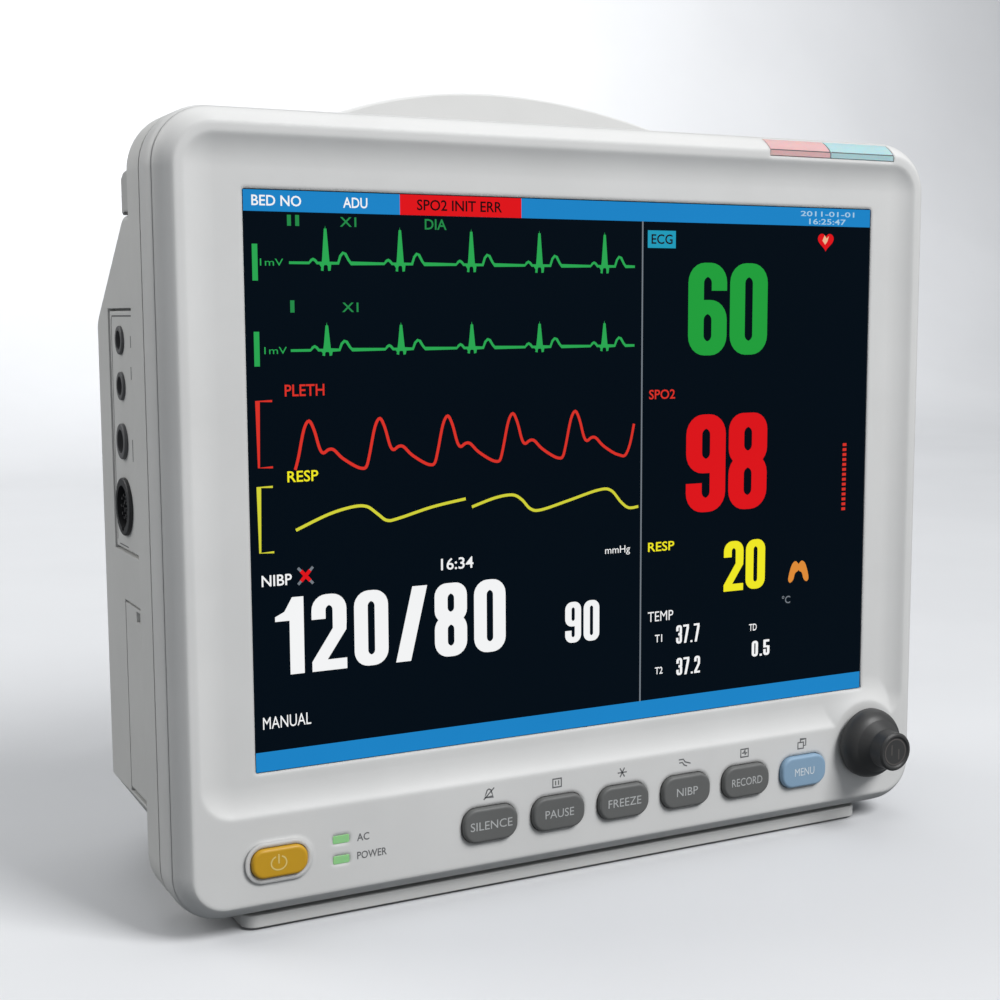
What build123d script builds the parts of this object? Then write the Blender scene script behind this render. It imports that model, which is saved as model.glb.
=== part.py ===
from build123d import *
import os

# Bedside patient monitor with a 12.1 inch display, in millimetres.
# X runs to the reader's right, Y away from the reader, Z up.
# The origin is on the table, under the middle of the case.

# ---- driving dimensions ---------------------------------------------------------------------

HALF_WIDTH = 151.0          # case, side to side
SHELL_LOW = 5.6             # underside of the case, above the base plate
SHELL_TOP = 264.5           # top of the case, without the handle
LOW_CORNER = 17.0           # corner radii of the case outline
TOP_CORNER = 19.0
EDGE_RADIUS = 14.45         # convex edge between the case side and the rim
WALL = 2.5                  # moulded wall thickness
GAP = 0.25                  # gap around pieces that fit in an opening
SIDE_GAP = 0.8              # wider gap around the side panel and the battery door

RIM_Y = -62.5               # face of the rim and of the control strip
FLOOR_Y = -60.0             # face of the screen and of the flat surround
CURVE_Y = -51.0             # where the convex edge meets the flat side
CREASE_Y = (-56.0, -55.6)   # very fine styling groove round the convex edge
CREASE_DEPTH = 1.1          # its bottom, measured in from the flat side
SEAM_Y = -43.6              # joint between bezel and rear housing
SEAM_GROOVE_Y = (-44.6, -43.6)   # shadow gap cut into the bezel along the joint
SEAM_DEPTH = 1.2
FLANGE_Y = -29.0            # back of the housing's full-outline flange
BACK_Y = 60.0               # rear wall
BEZEL_INNER_Y = -57.4       # inside face of the bezel
POST_BORE_Y = -56.0         # bottom of the screw holes in the bezel's posts
LCD_POST_Y = -46.2          # end of the posts that carry the display bracket
STRIP_INNER_Y = -59.9       # inside face of the control strip
STRIP_CUT_Y = (-70.0, -55.0)   # openings are cut through the strip over this depth

SCREEN_Z = 146.5            # height of the screen's centre
SCREEN_HALF_WIDTH = 123.0   # 12.1 inch, 4:3
SCREEN_HALF_HEIGHT = 92.25

KEY_COUNT = 6
KEY_FIRST_X = -40.9
KEY_PITCH = 26.86
KEY_Z = 25.7
KEY_SIZE = (20.9, 12.1)
KEY_CORNER = 5.2
KEY_TRAVEL = 1.0
POWER_SPOT = (-117.1, 25.1)
POWER_SIZE = (19.1, 9.8)
POWER_CORNER = 4.4
POWER_RING = 1.8              # width of the raised ring round the power key
LED_X = -95.5
LED_HEIGHTS = (28.7, 21.8)    # mains above battery
LED_SIZE = (5.8, 2.8)

KNOB_X = 123.9
KNOB_Z = 33.3
KNOB_RADIUS = 13.5
KNOB_TIP_RADIUS = 7.4
KNOB_BACK_Y = -63.9
KNOB_TIP_Y = -81.0
BOSS_RADIUS = 16.0          # round boss that carries the knob

ALARM_LEFT = 74.2           # two-colour alarm light on the top edge
ALARM_MIDDLE = 101.6
ALARM_RIGHT = 131.6
ALARM_LOW = 256.7
ALARM_BACK_Y = -57.0

BOX_HALF = 150.0            # rear box, side to side
BOX_TOP = 232.5
BOX_TAPER_Y = 24.0          # the sides draw in behind this depth
BOX_TOP_CORNER = 2.0
SLOPE_START_Y = -19.0       # the top slopes down behind this depth
SLOPE_FALL = 0.82           # drop of the sloping top for each millimetre of depth
UNDERCUT_Z = 36.5           # the lower edges are cut away below this height

BASE_HALF = 127.0           # base plate
BASE_FRONT_Y = -56.0
BASE_BACK_Y = 44.0
BASE_LOW = 1.0
BASE_TOP = 5.1
TROLLEY_PITCH = 75.0        # M4 hole square for a trolley or wall plate
TROLLEY_HOLE_RADIUS = 2.0

PANEL_X = -149.6            # face of the patient connector panel
PANEL_Y = (-25.0, 6.5)
PANEL_Z = (121.5, 201.9)
SOCKET_Y = -8.0
TEMP_HEIGHTS = (192.2, 177.0)
CUFF_PORT_Z = 158.5
PATIENT_SOCKET_Z = 136.5
TEMP_SPOTS = [(SOCKET_Y, height) for height in TEMP_HEIGHTS]
CUFF_SPOT = [(SOCKET_Y, CUFF_PORT_Z)]
PATIENT_SPOT = [(SOCKET_Y, PATIENT_SOCKET_Z)]
PANEL_CUT_X = (-151.0, -140.0)   # socket holes are cut through the panel over this width
PANEL_BACK_X = -147.5
JACK_RADIUS = 3.18          # quarter inch jack

DOOR_Y = (-26.5, -5.0)      # battery door
DOOR_Z = (38.0, 103.5)
DOOR_THICKNESS = 2.4
DOOR_PIN = (-148.6, 39.4)   # x and z of the hinge pin
DOOR_PIN_RADIUS = 0.75
RUNNING_GAP = 0.05          # radial clearance of turning fits

SPEAKER_SPOT = (-3.0, 76.0)   # y and z of the speaker and its grille, on the right side

RECORDER_Y = (-25.0, 21.0)  # opening of the strip-chart recorder
RECORDER_Z = (112.0, 178.0)
RECORDER_WALL = 1.6
RECORDER_HINGE = (149.9, 17.5)
ROLL_AXIS = (125.5, -1.0)
ROLL_RADIUS = 17.0
ROLL_Z = (120.0, 170.0)
ROLL_CORE_RADIUS = 6.0

IO_X = (-10.0, 112.0)       # recess for the rear connectors
IO_Z = (28.0, 72.0)
IO_Y = 48.0                 # face of the rear connector plate
IO_CUT_Y = (IO_Y - 5, IO_Y + 5)
IO_MIDDLE_Z = 50.0

CHASSIS_Y = (-30.0, -28.5)
BOARD_THICKNESS = 1.6
HANDLE_ROOT = (-21.0, 232.5)   # y and z of the handle's foot line
HANDLE_LEAN = 40.0             # degrees from vertical, toward the back
HANDLE_HALF_THICKNESS = 6.5
FOOT_X = (106.0, 150.0)        # blocks that carry the handle's ends
FOOT_BACK_Y = -16.6
FOOT_HEIGHT = 14.0
FOOT_SLOT_Y = (-25.5, -19.5)   # short shadow slot under each foot, on its outer side

CASE_POSTS = [(-131.0, 257.0), (131.0, 257.0), (-141.0, 18.0), (141.0, 18.0)]
LCD_POSTS = [(side * 144.0, height) for side in (-1, 1) for height in (60.0, SCREEN_Z, 233.0)]
HANDLE_SCREW_X = (-141.0, -127.0, 127.0, 141.0)
HANDLE_SCREW_Y = -23.0
BASE_SCREWS = [(-105.0, -28.0), (105.0, -28.0), (-105.0, 32.0), (105.0, 32.0)]
CHASSIS_SCREWS = [(-115.0, 220.0), (115.0, 220.0), (-118.0, 110.0), (98.0, 104.0)]


# ---- helpers --------------------------------------------------------------------------------

def front_plane(y):
    """A plane at depth y that faces the reader: x to the right, y up."""
    return Plane(origin=(0, y, 0), x_dir=(1, 0, 0), z_dir=(0, -1, 0))


def side_plane(x):
    """A plane at x that faces right: its x runs to the back, its y up."""
    return Plane(origin=(x, 0, 0), x_dir=(0, 1, 0), z_dir=(1, 0, 0))


def span(x, y, z, mode=Mode.ADD):
    """A box from its low and high value along each axis."""
    spans = (x, y, z)
    with Locations(tuple((low + high) / 2 for low, high in spans)):
        Box(*[high - low for low, high in spans], mode=mode)


def rod_y(spots, radius, front, back, mode=Mode.ADD):
    """Round rods along Y at each (x, z) spot."""
    with BuildSketch(front_plane(back)) as discs:
        with Locations(*spots):
            Circle(radius)
    extrude(discs.sketch, amount=back - front, mode=mode)


def rod_x(spots, radius, left, right, mode=Mode.ADD):
    """Round rods along X at each (y, z) spot."""
    with BuildSketch(side_plane(left)) as discs:
        with Locations(*spots):
            Circle(radius)
    extrude(discs.sketch, amount=right - left, mode=mode)


def rod_z(spots, radius, low, high, mode=Mode.ADD):
    """Round rods along Z at each (x, y) spot."""
    with BuildSketch(Plane.XY.offset(low)) as discs:
        with Locations(*spots):
            Circle(radius)
    extrude(discs.sketch, amount=high - low, mode=mode)


def pill(spot, size, corner, front, back, mode=Mode.ADD):
    """A rounded rectangle standing along Y, from its front to its back depth."""
    with BuildSketch(front_plane(back)) as outline:
        with Locations(spot):
            RectangleRounded(*size, corner)
    extrude(outline.sketch, amount=back - front, mode=mode)


def rounded_block(half_width, low, high, low_corner, top_corner, front, back):
    """A block along Y with one corner radius below and another above."""
    with BuildPart() as block:
        with BuildSketch(front_plane(back)) as outline:
            with Locations((0, (low + high) / 2)):
                Rectangle(2 * half_width, high - low)
            fillet(outline.vertices().group_by(Axis.Y)[0], low_corner)
            fillet(outline.vertices().group_by(Axis.Y)[-1], top_corner)
        extrude(amount=back - front)
    return block.part


def seats_y(spots, y, outward):
    """Planes under screw heads at (x, z) spots; outward is 1 toward +Y, -1 toward -Y."""
    return [Plane(origin=(x, y, z), z_dir=(0, outward, 0)) for x, z in spots]


def seats_z(spots, z, outward):
    """Planes under screw heads at (x, y) spots; outward is 1 for up, -1 for down."""
    return [Plane(origin=(x, y, z), z_dir=(0, 0, outward)) for x, y in spots]


def bores(seats, radius, depth):
    """Round holes below each seat."""
    with BuildSketch(*seats) as discs:
        Circle(radius)
    extrude(discs.sketch, amount=-depth, mode=Mode.SUBTRACT)


def screws(seats, radius, length, head_radius, head_height):
    """Socket screws: one solid on each seat, head outward."""
    with BuildSketch(*seats) as heads:
        Circle(head_radius)
    extrude(heads.sketch, amount=head_height)
    with BuildSketch(*seats) as shanks:
        Circle(radius)
    extrude(shanks.sketch, amount=-length)
    with BuildSketch(*[seat.offset(head_height) for seat in seats]) as sockets:
        RegularPolygon(head_radius * 0.5, 6)
    extrude(sockets.sketch, amount=-head_height * 0.6, mode=Mode.SUBTRACT)


def write(piece, label):
    """Label a finished piece and write its STEP file."""
    piece.part.label = label
    export_step(piece.part, f"parts/{label}.step")


os.makedirs("parts", exist_ok=True)

KEY_XS = [KEY_FIRST_X + index * KEY_PITCH for index in range(KEY_COUNT)]
KEY_NAMES = ["key_silence", "key_pause", "key_freeze", "key_nibp", "key_record", "key_menu"]
CASE_SEATS = seats_y(CASE_POSTS, -35.0, 1)
HANDLE_SEAT_Z = 240.0
HANDLE_SEATS = seats_z([(x, HANDLE_SCREW_Y) for x in HANDLE_SCREW_X], HANDLE_SEAT_Z, 1)


# ---- front bezel ----------------------------------------------------------------------------

def outline_groove(groove_y, depth):
    """A ring that cuts a groove of even depth round the case outline."""
    with BuildPart() as ring:
        add(rounded_block(HALF_WIDTH + 1, SHELL_LOW - 1, SHELL_TOP + 1, LOW_CORNER + 1, TOP_CORNER + 1,
                          *groove_y))
        add(rounded_block(HALF_WIDTH - depth, SHELL_LOW + depth, SHELL_TOP - depth, LOW_CORNER - depth,
                          TOP_CORNER - depth, *groove_y), mode=Mode.SUBTRACT)
    return ring.part


def bezel_form():
    """The bezel as one solid: convex edges that stop at a crisp rim."""
    with BuildPart() as form:
        add(rounded_block(HALF_WIDTH, SHELL_LOW, SHELL_TOP, LOW_CORNER, TOP_CORNER,
                          CURVE_Y - EDGE_RADIUS, SEAM_Y))
        fillet(form.faces().sort_by(Axis.Y)[0].edges(), EDGE_RADIUS)
        split(bisect_by=front_plane(RIM_Y), keep=Keep.BOTTOM)
        add(outline_groove(CREASE_Y, CREASE_DEPTH), mode=Mode.SUBTRACT)
        add(outline_groove(SEAM_GROOVE_Y, SEAM_DEPTH), mode=Mode.SUBTRACT)
    return form.part


def recess_form():
    """The shallow recess around the screen, with concave walls, as a solid to cut away."""
    wall_radius = 19.3
    spread = 9.8            # how far the walls' full curve reaches past the crease
    crease_half_width = 142.2
    crease_low = 40.5
    crease_high = 255.5
    clear_y = -100.0
    with BuildPart() as form:
        add(rounded_block(crease_half_width + spread, crease_low - spread, crease_high + spread,
                          wall_radius + 2.0, wall_radius + 0.6, clear_y, FLOOR_Y))
        fillet(form.faces().sort_by(Axis.Y)[-1].edges(), wall_radius)
        # The knob's boss stays standing in the recess, with the same concave foot.
        foot_radius = BOSS_RADIUS + 9.5
        through_axis = Plane(origin=(KNOB_X, 0, KNOB_Z), x_dir=(1, 0, 0), z_dir=(0, 0, 1))
        with BuildSketch(through_axis):
            with BuildLine():
                Polyline((foot_radius, FLOOR_Y), (0, FLOOR_Y), (0, clear_y), (BOSS_RADIUS, clear_y),
                         (BOSS_RADIUS, RIM_Y))
                RadiusArc((BOSS_RADIUS, RIM_Y), (foot_radius, FLOOR_Y), wall_radius)
            make_face()
        revolve(axis=Axis((KNOB_X, 0, KNOB_Z), (0, 1, 0)), mode=Mode.SUBTRACT)
    return form.part


def bezel_inside():
    """The hollow behind the bezel's front."""
    with BuildPart() as hollow:
        add(rounded_block(HALF_WIDTH - WALL - 0.1, SHELL_LOW + WALL, SHELL_TOP - WALL,
                          LOW_CORNER - WALL, TOP_CORNER - WALL, BEZEL_INNER_Y, SEAM_Y))
        fillet(hollow.faces().sort_by(Axis.Y)[0].edges(), 5.0)
    return hollow.part


with BuildPart() as front_bezel:
    add(bezel_form())
    add(recess_form(), mode=Mode.SUBTRACT)
    add(bezel_inside(), mode=Mode.SUBTRACT)
    # Relief behind the control strip and behind the knob's boss.
    span((-140, 135), (STRIP_INNER_Y, BEZEL_INNER_Y), (12, 36), mode=Mode.SUBTRACT)
    span((KNOB_X - 11, KNOB_X + 11), (STRIP_INNER_Y, BEZEL_INNER_Y), (22, 44), mode=Mode.SUBTRACT)
    # Posts for the case screws and for the display bracket.
    rod_y(CASE_POSTS, 4.0, BEZEL_INNER_Y, SEAM_Y)
    rod_y(CASE_POSTS, 1.55, POST_BORE_Y, SEAM_Y, mode=Mode.SUBTRACT)
    rod_y(LCD_POSTS, 3.4, BEZEL_INNER_Y, LCD_POST_Y)
    rod_y(LCD_POSTS, 1.5, POST_BORE_Y, LCD_POST_Y, mode=Mode.SUBTRACT)
    # Raised ring around the power key.
    pill(POWER_SPOT, [side + 2 * POWER_RING for side in POWER_SIZE], POWER_CORNER + POWER_RING,
         RIM_Y - 0.8, RIM_Y)
    # Openings for screen, keys, indicators, knob and alarm light.
    pill((0, SCREEN_Z), (2 * SCREEN_HALF_WIDTH + 0.6, 2 * SCREEN_HALF_HEIGHT + 0.6), 0.8,
         -70, BEZEL_INNER_Y, mode=Mode.SUBTRACT)
    for key_x in KEY_XS:
        pill((key_x, KEY_Z), [side + 2 * GAP for side in KEY_SIZE], KEY_CORNER + GAP, *STRIP_CUT_Y,
             mode=Mode.SUBTRACT)
    pill(POWER_SPOT, [side + 2 * GAP for side in POWER_SIZE], POWER_CORNER + GAP, *STRIP_CUT_Y,
         mode=Mode.SUBTRACT)
    for led_z in LED_HEIGHTS:
        pill((LED_X, led_z), LED_SIZE, 0.6, *STRIP_CUT_Y, mode=Mode.SUBTRACT)
    rod_y([(KNOB_X, KNOB_Z)], 3.6, *STRIP_CUT_Y, mode=Mode.SUBTRACT)
    span((ALARM_LEFT, ALARM_RIGHT), (-70, ALARM_BACK_Y), (ALARM_LOW, 270), mode=Mode.SUBTRACT)
write(front_bezel, "front_bezel")


# ---- alarm light ----------------------------------------------------------------------------

def alarm_lens(left, right):
    """A light guide that continues the bezel's curved top edge."""
    seam = 0.28
    with BuildPart() as lens:
        add(bezel_form())
        span((left + seam, right - seam), (-70, ALARM_BACK_Y - seam), (ALARM_LOW + seam, 270),
             mode=Mode.INTERSECT)
    return lens


write(alarm_lens(ALARM_LEFT, ALARM_MIDDLE), "alarm_lens_red")
write(alarm_lens(ALARM_MIDDLE, ALARM_RIGHT), "alarm_lens_cyan")

with BuildPart() as alarm_led_board:
    span((78, 124), (-56.9, -55.7), (252.5, 258.5))
    for led_x in (82, 88, 94, 108, 114, 120):
        span((led_x - 1, led_x + 1), (-55.7, -55.0), (255, 257))
write(alarm_led_board, "alarm_led_board")


# ---- display --------------------------------------------------------------------------------

WINDOW_FLANGE = (256.0, 194.0)
WINDOW_BACK_Y = -56.2
LCD_FRONT_Y = -55.2
LCD_BACK_Y = LCD_POST_Y

with BuildPart() as display_window:
    pill((0, SCREEN_Z), (2 * SCREEN_HALF_WIDTH + 0.2, 2 * SCREEN_HALF_HEIGHT + 0.2), 0.6,
         FLOOR_Y + 0.2, BEZEL_INNER_Y)
    pill((0, SCREEN_Z), WINDOW_FLANGE, 2, BEZEL_INNER_Y, WINDOW_BACK_Y)
write(display_window, "display_window")

with BuildPart() as window_gasket:
    pill((0, SCREEN_Z), WINDOW_FLANGE, 2, WINDOW_BACK_Y, LCD_FRONT_Y)
    pill((0, SCREEN_Z), (248, 187), 1, -57, -55, mode=Mode.SUBTRACT)
write(window_gasket, "window_gasket")

with BuildPart() as lcd_panel:
    span((-139.5, 139.5), (LCD_FRONT_Y, LCD_BACK_Y), (42.0, 251.0))
    span((-60, 60), (LCD_BACK_Y, LCD_BACK_Y + 1.2), (70, 100))
    fillet(lcd_panel.edges().filter_by(Axis.Y).group_by(Axis.X)[0], 2)
write(lcd_panel, "lcd_panel")

with BuildPart() as lcd_bracket:
    pill((0, SCREEN_Z), (294.4, 190), 4, LCD_BACK_Y, LCD_BACK_Y + 1.2)
    for window_x in (-68, 68):
        pill((window_x, SCREEN_Z + 20), (116, 120), 8, LCD_BACK_Y, -40, mode=Mode.SUBTRACT)
    span((-64, 64), (LCD_BACK_Y, -40), (66, 104), mode=Mode.SUBTRACT)
    rod_y(LCD_POSTS, 1.6, LCD_BACK_Y, -40, mode=Mode.SUBTRACT)
write(lcd_bracket, "lcd_bracket")


# ---- keys and control board -----------------------------------------------------------------

KEY_FLANGE_Y = (STRIP_INNER_Y + 0.05, STRIP_INNER_Y + 1.2)
KEY_FOOT_Y = -58.0


def key_cap(spot, size, corner, proud):
    """A key with a rounded face, a flange behind the strip and a foot on its switch."""
    with BuildPart() as cap:
        pill(spot, size, corner, RIM_Y - proud, KEY_FLANGE_Y[0])
        fillet(cap.faces().sort_by(Axis.Y)[0].edges(), 1.1)
        pill(spot, [side + 2.4 for side in size], corner + 1.2, *KEY_FLANGE_Y)
        rod_y([spot], 2.0, KEY_FLANGE_Y[1], KEY_FOOT_Y)
    return cap


for key_name, key_x in zip(KEY_NAMES, KEY_XS):
    write(key_cap((key_x, KEY_Z), KEY_SIZE, KEY_CORNER, 2.0), key_name)
write(key_cap(POWER_SPOT, POWER_SIZE, POWER_CORNER, 2.2), "power_key")

with BuildPart() as indicator_lenses:
    for led_z in LED_HEIGHTS:
        pill((LED_X, led_z), [side - 0.1 for side in LED_SIZE], 0.5, RIM_Y - 0.15, -58.5)
    fillet(indicator_lenses.faces().group_by(Axis.Y)[0].edges(), 0.12)
write(indicator_lenses, "indicator_lenses")

KEY_BOARD_Y = (-53.4, -51.8)
with BuildPart() as key_board:
    span((-130, 114), KEY_BOARD_Y, (13.5, 37.5))
    for switch_x, switch_z in [(key_x, KEY_Z) for key_x in KEY_XS] + [POWER_SPOT]:
        span((switch_x - 3, switch_x + 3), (-56.2, KEY_BOARD_Y[0]), (switch_z - 3, switch_z + 3))
        rod_y([(switch_x, switch_z)], 1.6, KEY_FOOT_Y + KEY_TRAVEL + 0.1, -56.2)
    for led_z in LED_HEIGHTS:
        span((LED_X - 1.5, LED_X + 1.5), (-55.4, KEY_BOARD_Y[0]), (led_z - 1, led_z + 1))
    span((60, 90), (KEY_BOARD_Y[1], -46), (28, 33))
write(key_board, "key_board")


# ---- push-and-turn knob ---------------------------------------------------------------------

KNOB_SPOT = [(KNOB_X, KNOB_Z)]
PLUNGER_Y = (-57.2, -55.2)
SHAFT_RADIUS = 3.0

with BuildPart() as encoder_body:
    pill((KNOB_X, KNOB_Z), (13, 13), 0.6, STRIP_INNER_Y, -52.4)
    rod_y(KNOB_SPOT, 3.5, -66.5, STRIP_INNER_Y)
    rod_y(KNOB_SPOT, SHAFT_RADIUS + RUNNING_GAP, -70, -58.4, mode=Mode.SUBTRACT)
    rod_y(KNOB_SPOT, 5.0, -58.4, -53.6, mode=Mode.SUBTRACT)
write(encoder_body, "encoder_body")

with BuildPart() as encoder_plunger:
    rod_y(KNOB_SPOT, 4.9, *PLUNGER_Y)
    rod_y(KNOB_SPOT, SHAFT_RADIUS + RUNNING_GAP, PLUNGER_Y[0], PLUNGER_Y[1] - 0.5, mode=Mode.SUBTRACT)
write(encoder_plunger, "encoder_plunger")

with BuildPart() as encoder_shaft:
    rod_y(KNOB_SPOT, SHAFT_RADIUS, -78.0, PLUNGER_Y[1] - 0.6)
    chamfer(encoder_shaft.faces().sort_by(Axis.Y)[0].edges(), 0.4)
write(encoder_shaft, "encoder_shaft")

with BuildPart() as encoder_nut:
    with BuildSketch(front_plane(RIM_Y)):
        with Locations(*KNOB_SPOT):
            RegularPolygon(5.8, 6)
            Circle(3.55, mode=Mode.SUBTRACT)
    extrude(amount=2.2)
write(encoder_nut, "encoder_nut")

with BuildPart() as knob:
    radial = Plane(origin=(KNOB_X, 0, KNOB_Z), x_dir=(1, 0, 0), z_dir=(0, 0, 1))
    rim_back_y = KNOB_BACK_Y - 2.4
    neck_y = KNOB_TIP_Y + 6.4
    with BuildSketch(radial):
        with BuildLine():
            Polyline((0, KNOB_TIP_Y + 0.5), (0, KNOB_BACK_Y), (KNOB_RADIUS - 0.5, KNOB_BACK_Y),
                     (KNOB_RADIUS, KNOB_BACK_Y - 0.5), (KNOB_RADIUS, rim_back_y))
            ThreePointArc((KNOB_RADIUS, rim_back_y), (KNOB_RADIUS - 1.0, rim_back_y - 2.6),
                          (KNOB_RADIUS - 3.2, rim_back_y - 4.8))
            Line((KNOB_RADIUS - 3.2, rim_back_y - 4.8), (KNOB_TIP_RADIUS, neck_y))
            Polyline((KNOB_TIP_RADIUS, neck_y), (KNOB_TIP_RADIUS, KNOB_TIP_Y + 0.7),
                     (KNOB_TIP_RADIUS - 0.7, KNOB_TIP_Y), (KNOB_TIP_RADIUS - 1.4, KNOB_TIP_Y),
                     (KNOB_TIP_RADIUS - 1.9, KNOB_TIP_Y + 0.5), (0, KNOB_TIP_Y + 0.5))
        make_face()
    revolve(axis=Axis((KNOB_X, 0, KNOB_Z), (0, 1, 0)))
    rod_y(KNOB_SPOT, 8.0, -68.4, -60, mode=Mode.SUBTRACT)
    rod_y(KNOB_SPOT, SHAFT_RADIUS + 0.02, -78.1, -60, mode=Mode.SUBTRACT)
write(knob, "knob")


# ---- rear housing ---------------------------------------------------------------------------

def rear_form(inset):
    """The rear box: sloping top, tapered sides and cut-away lower edges, drawn in by inset."""
    front = SEAM_Y - 2 * inset
    low = SHELL_LOW
    undercut_half = BASE_HALF + 1.0
    back_half = BOX_HALF - 28.0
    slope_end_y = BACK_Y - 17.0
    slope_end_z = BOX_TOP - (slope_end_y - SLOPE_START_Y) * SLOPE_FALL
    with BuildPart() as form:
        with BuildSketch(front_plane(BACK_Y)) as across:
            Polygon((-undercut_half, low), (undercut_half, low), (BOX_HALF, UNDERCUT_Z), (BOX_HALF, BOX_TOP),
                    (-BOX_HALF, BOX_TOP), (-BOX_HALF, UNDERCUT_Z), align=None)
            fillet(across.vertices().group_by(Axis.Y)[-1], BOX_TOP_CORNER)
            if inset:
                offset(amount=-inset)
        extrude(amount=BACK_Y - front)
        with BuildSketch(side_plane(-BOX_HALF)) as profile:
            Polygon((front, low), (BACK_Y - 14, low), (BACK_Y, low + 16), (BACK_Y, slope_end_z - 20),
                    (slope_end_y, slope_end_z), (SLOPE_START_Y, BOX_TOP), (front, BOX_TOP), align=None)
            if inset:
                offset(amount=-inset)
        extrude(amount=2 * BOX_HALF, mode=Mode.INTERSECT)
        with BuildSketch(Plane.XY) as plan:
            Polygon((-BOX_HALF, front), (BOX_HALF, front), (BOX_HALF, BOX_TAPER_Y), (back_half, BACK_Y),
                    (-back_half, BACK_Y), (-BOX_HALF, BOX_TAPER_Y), align=None)
            if inset:
                offset(amount=-inset)
        extrude(amount=300, mode=Mode.INTERSECT)
    return form.part


def rear_outside():
    """The rear box with its outer edges rounded."""
    with BuildPart() as form:
        add(rear_form(0))
        fillet(form.edges().filter_by(lambda edge: edge.center().Y > 20), 4.0)
    return form.part


DOOR_PIN_Y = (DOOR_Y[0] - 2.0, DOOR_Y[1] + 2.0)

with BuildPart() as rear_housing:
    add(rear_outside())
    add(rounded_block(HALF_WIDTH, SHELL_LOW, SHELL_TOP, LOW_CORNER, TOP_CORNER, SEAM_Y, FLANGE_Y))
    add(rear_form(WALL), mode=Mode.SUBTRACT)
    add(rounded_block(HALF_WIDTH - WALL, SHELL_LOW + WALL, SHELL_TOP - WALL, LOW_CORNER - WALL,
                      TOP_CORNER - WALL, SEAM_Y, FLANGE_Y - WALL), mode=Mode.SUBTRACT)
    # Posts for the case screws, with deep seats for their heads.
    rod_y(CASE_POSTS, 4.4, SEAM_Y, FLANGE_Y - 1)
    bores(seats_y(CASE_POSTS, FLANGE_Y + 1, 1), 3.2, FLANGE_Y + 1 - CASE_SEATS[0].origin.Y)
    bores(CASE_SEATS, 1.7, 10)
    # Posts under the handle, inside the top corners.
    rod_z([(x, HANDLE_SCREW_Y) for x in HANDLE_SCREW_X], 4.5, 214.0, BOX_TOP - 2)
    bores(HANDLE_SEATS, 2.05, 24.0)
    # Ribs and posts that carry the chassis and the base plate.
    rod_y(CHASSIS_SCREWS[:2], 4.0, CHASSIS_Y[1], -12.0)
    rod_y(CHASSIS_SCREWS[2:], 4.0, CHASSIS_Y[1], BACK_Y - 1)
    rod_y(CHASSIS_SCREWS, 1.55, CHASSIS_Y[1], CHASSIS_Y[1] + 6, mode=Mode.SUBTRACT)
    rod_z(BASE_SCREWS, 5.0, SHELL_LOW + WALL, SHELL_LOW + WALL + 9)
    rod_z(BASE_SCREWS, 2.0, SHELL_LOW, SHELL_LOW + WALL + 8, mode=Mode.SUBTRACT)
    # Openings: connector panel, battery door, recorder and rear connectors.
    for opening_y, opening_z in ((PANEL_Y, PANEL_Z), (DOOR_Y, DOOR_Z)):
        span((-160, -140), (opening_y[0] - SIDE_GAP, opening_y[1] + SIDE_GAP),
             (opening_z[0] - SIDE_GAP, opening_z[1] + SIDE_GAP), mode=Mode.SUBTRACT)
    with BuildSketch(Plane.XZ.offset(-DOOR_PIN_Y[1])) as pin_hole:
        with Locations(DOOR_PIN):
            Circle(DOOR_PIN_RADIUS + 0.01)
    extrude(pin_hole.sketch, amount=DOOR_PIN_Y[1] - DOOR_PIN_Y[0], mode=Mode.SUBTRACT)
    span((140, 160), RECORDER_Y, RECORDER_Z, mode=Mode.SUBTRACT)
    # The rear connectors sit on a plate at the bottom of a walled recess.
    span((IO_X[0] - 2, IO_X[1] + 2), (IO_Y, BACK_Y - 1), (IO_Z[0] - 2, IO_Z[1] + 2))
    span(IO_X, (IO_Y - 5, BACK_Y + 5), IO_Z, mode=Mode.SUBTRACT)
    # Air slots in the rear wall, and a sound grille in front of the speaker.
    with BuildSketch(front_plane(BACK_Y)) as slots:
        with Locations((0, 108)):
            with GridLocations(7.0, 0, 25, 1):
                SlotOverall(26, 2.6, rotation=90)
    extrude(slots.sketch, amount=8, both=True, mode=Mode.SUBTRACT)
    with BuildSketch(side_plane(BOX_HALF)) as grille:
        with Locations(SPEAKER_SPOT):
            with GridLocations(0, 5.0, 1, 7):
                SlotOverall(34, 2.2)
    extrude(grille.sketch, amount=6, both=True, mode=Mode.SUBTRACT)
write(rear_housing, "rear_housing")

with BuildPart() as case_screws:
    screws(CASE_SEATS, 1.5, 18.0, 2.8, 2.4)
write(case_screws, "case_screws")


# ---- carrying handle ------------------------------------------------------------------------

def handle_feet():
    """The two blocks at the handle's ends, standing on the box's top edge."""
    low, top = BOX_TOP, BOX_TOP + FOOT_HEIGHT
    with BuildPart() as feet:
        with BuildSketch(side_plane(-FOOT_X[1])) as profile:
            Polygon((FLANGE_Y, low), (SLOPE_START_Y, low), (FOOT_BACK_Y, low + 1.5), (FOOT_BACK_Y, top - 2.0),
                    (FOOT_BACK_Y - 3.5, top), (FLANGE_Y, top), align=None)
        extrude(profile.sketch, amount=2 * FOOT_X[1])
        chamfer(feet.faces().filter_by(Axis.X).edges().filter_by(lambda edge: edge.center().Z > low + 3),
                0.8)
        span((-FOOT_X[0], FOOT_X[0]), (FLANGE_Y, 0), (low, top), mode=Mode.SUBTRACT)
        for side in (-1, 1):
            span(sorted((side * (FOOT_X[1] - 2), side * (FOOT_X[1] + 1))), FOOT_SLOT_Y, (low, low + 0.9),
                 mode=Mode.SUBTRACT)
    return feet.part


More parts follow.
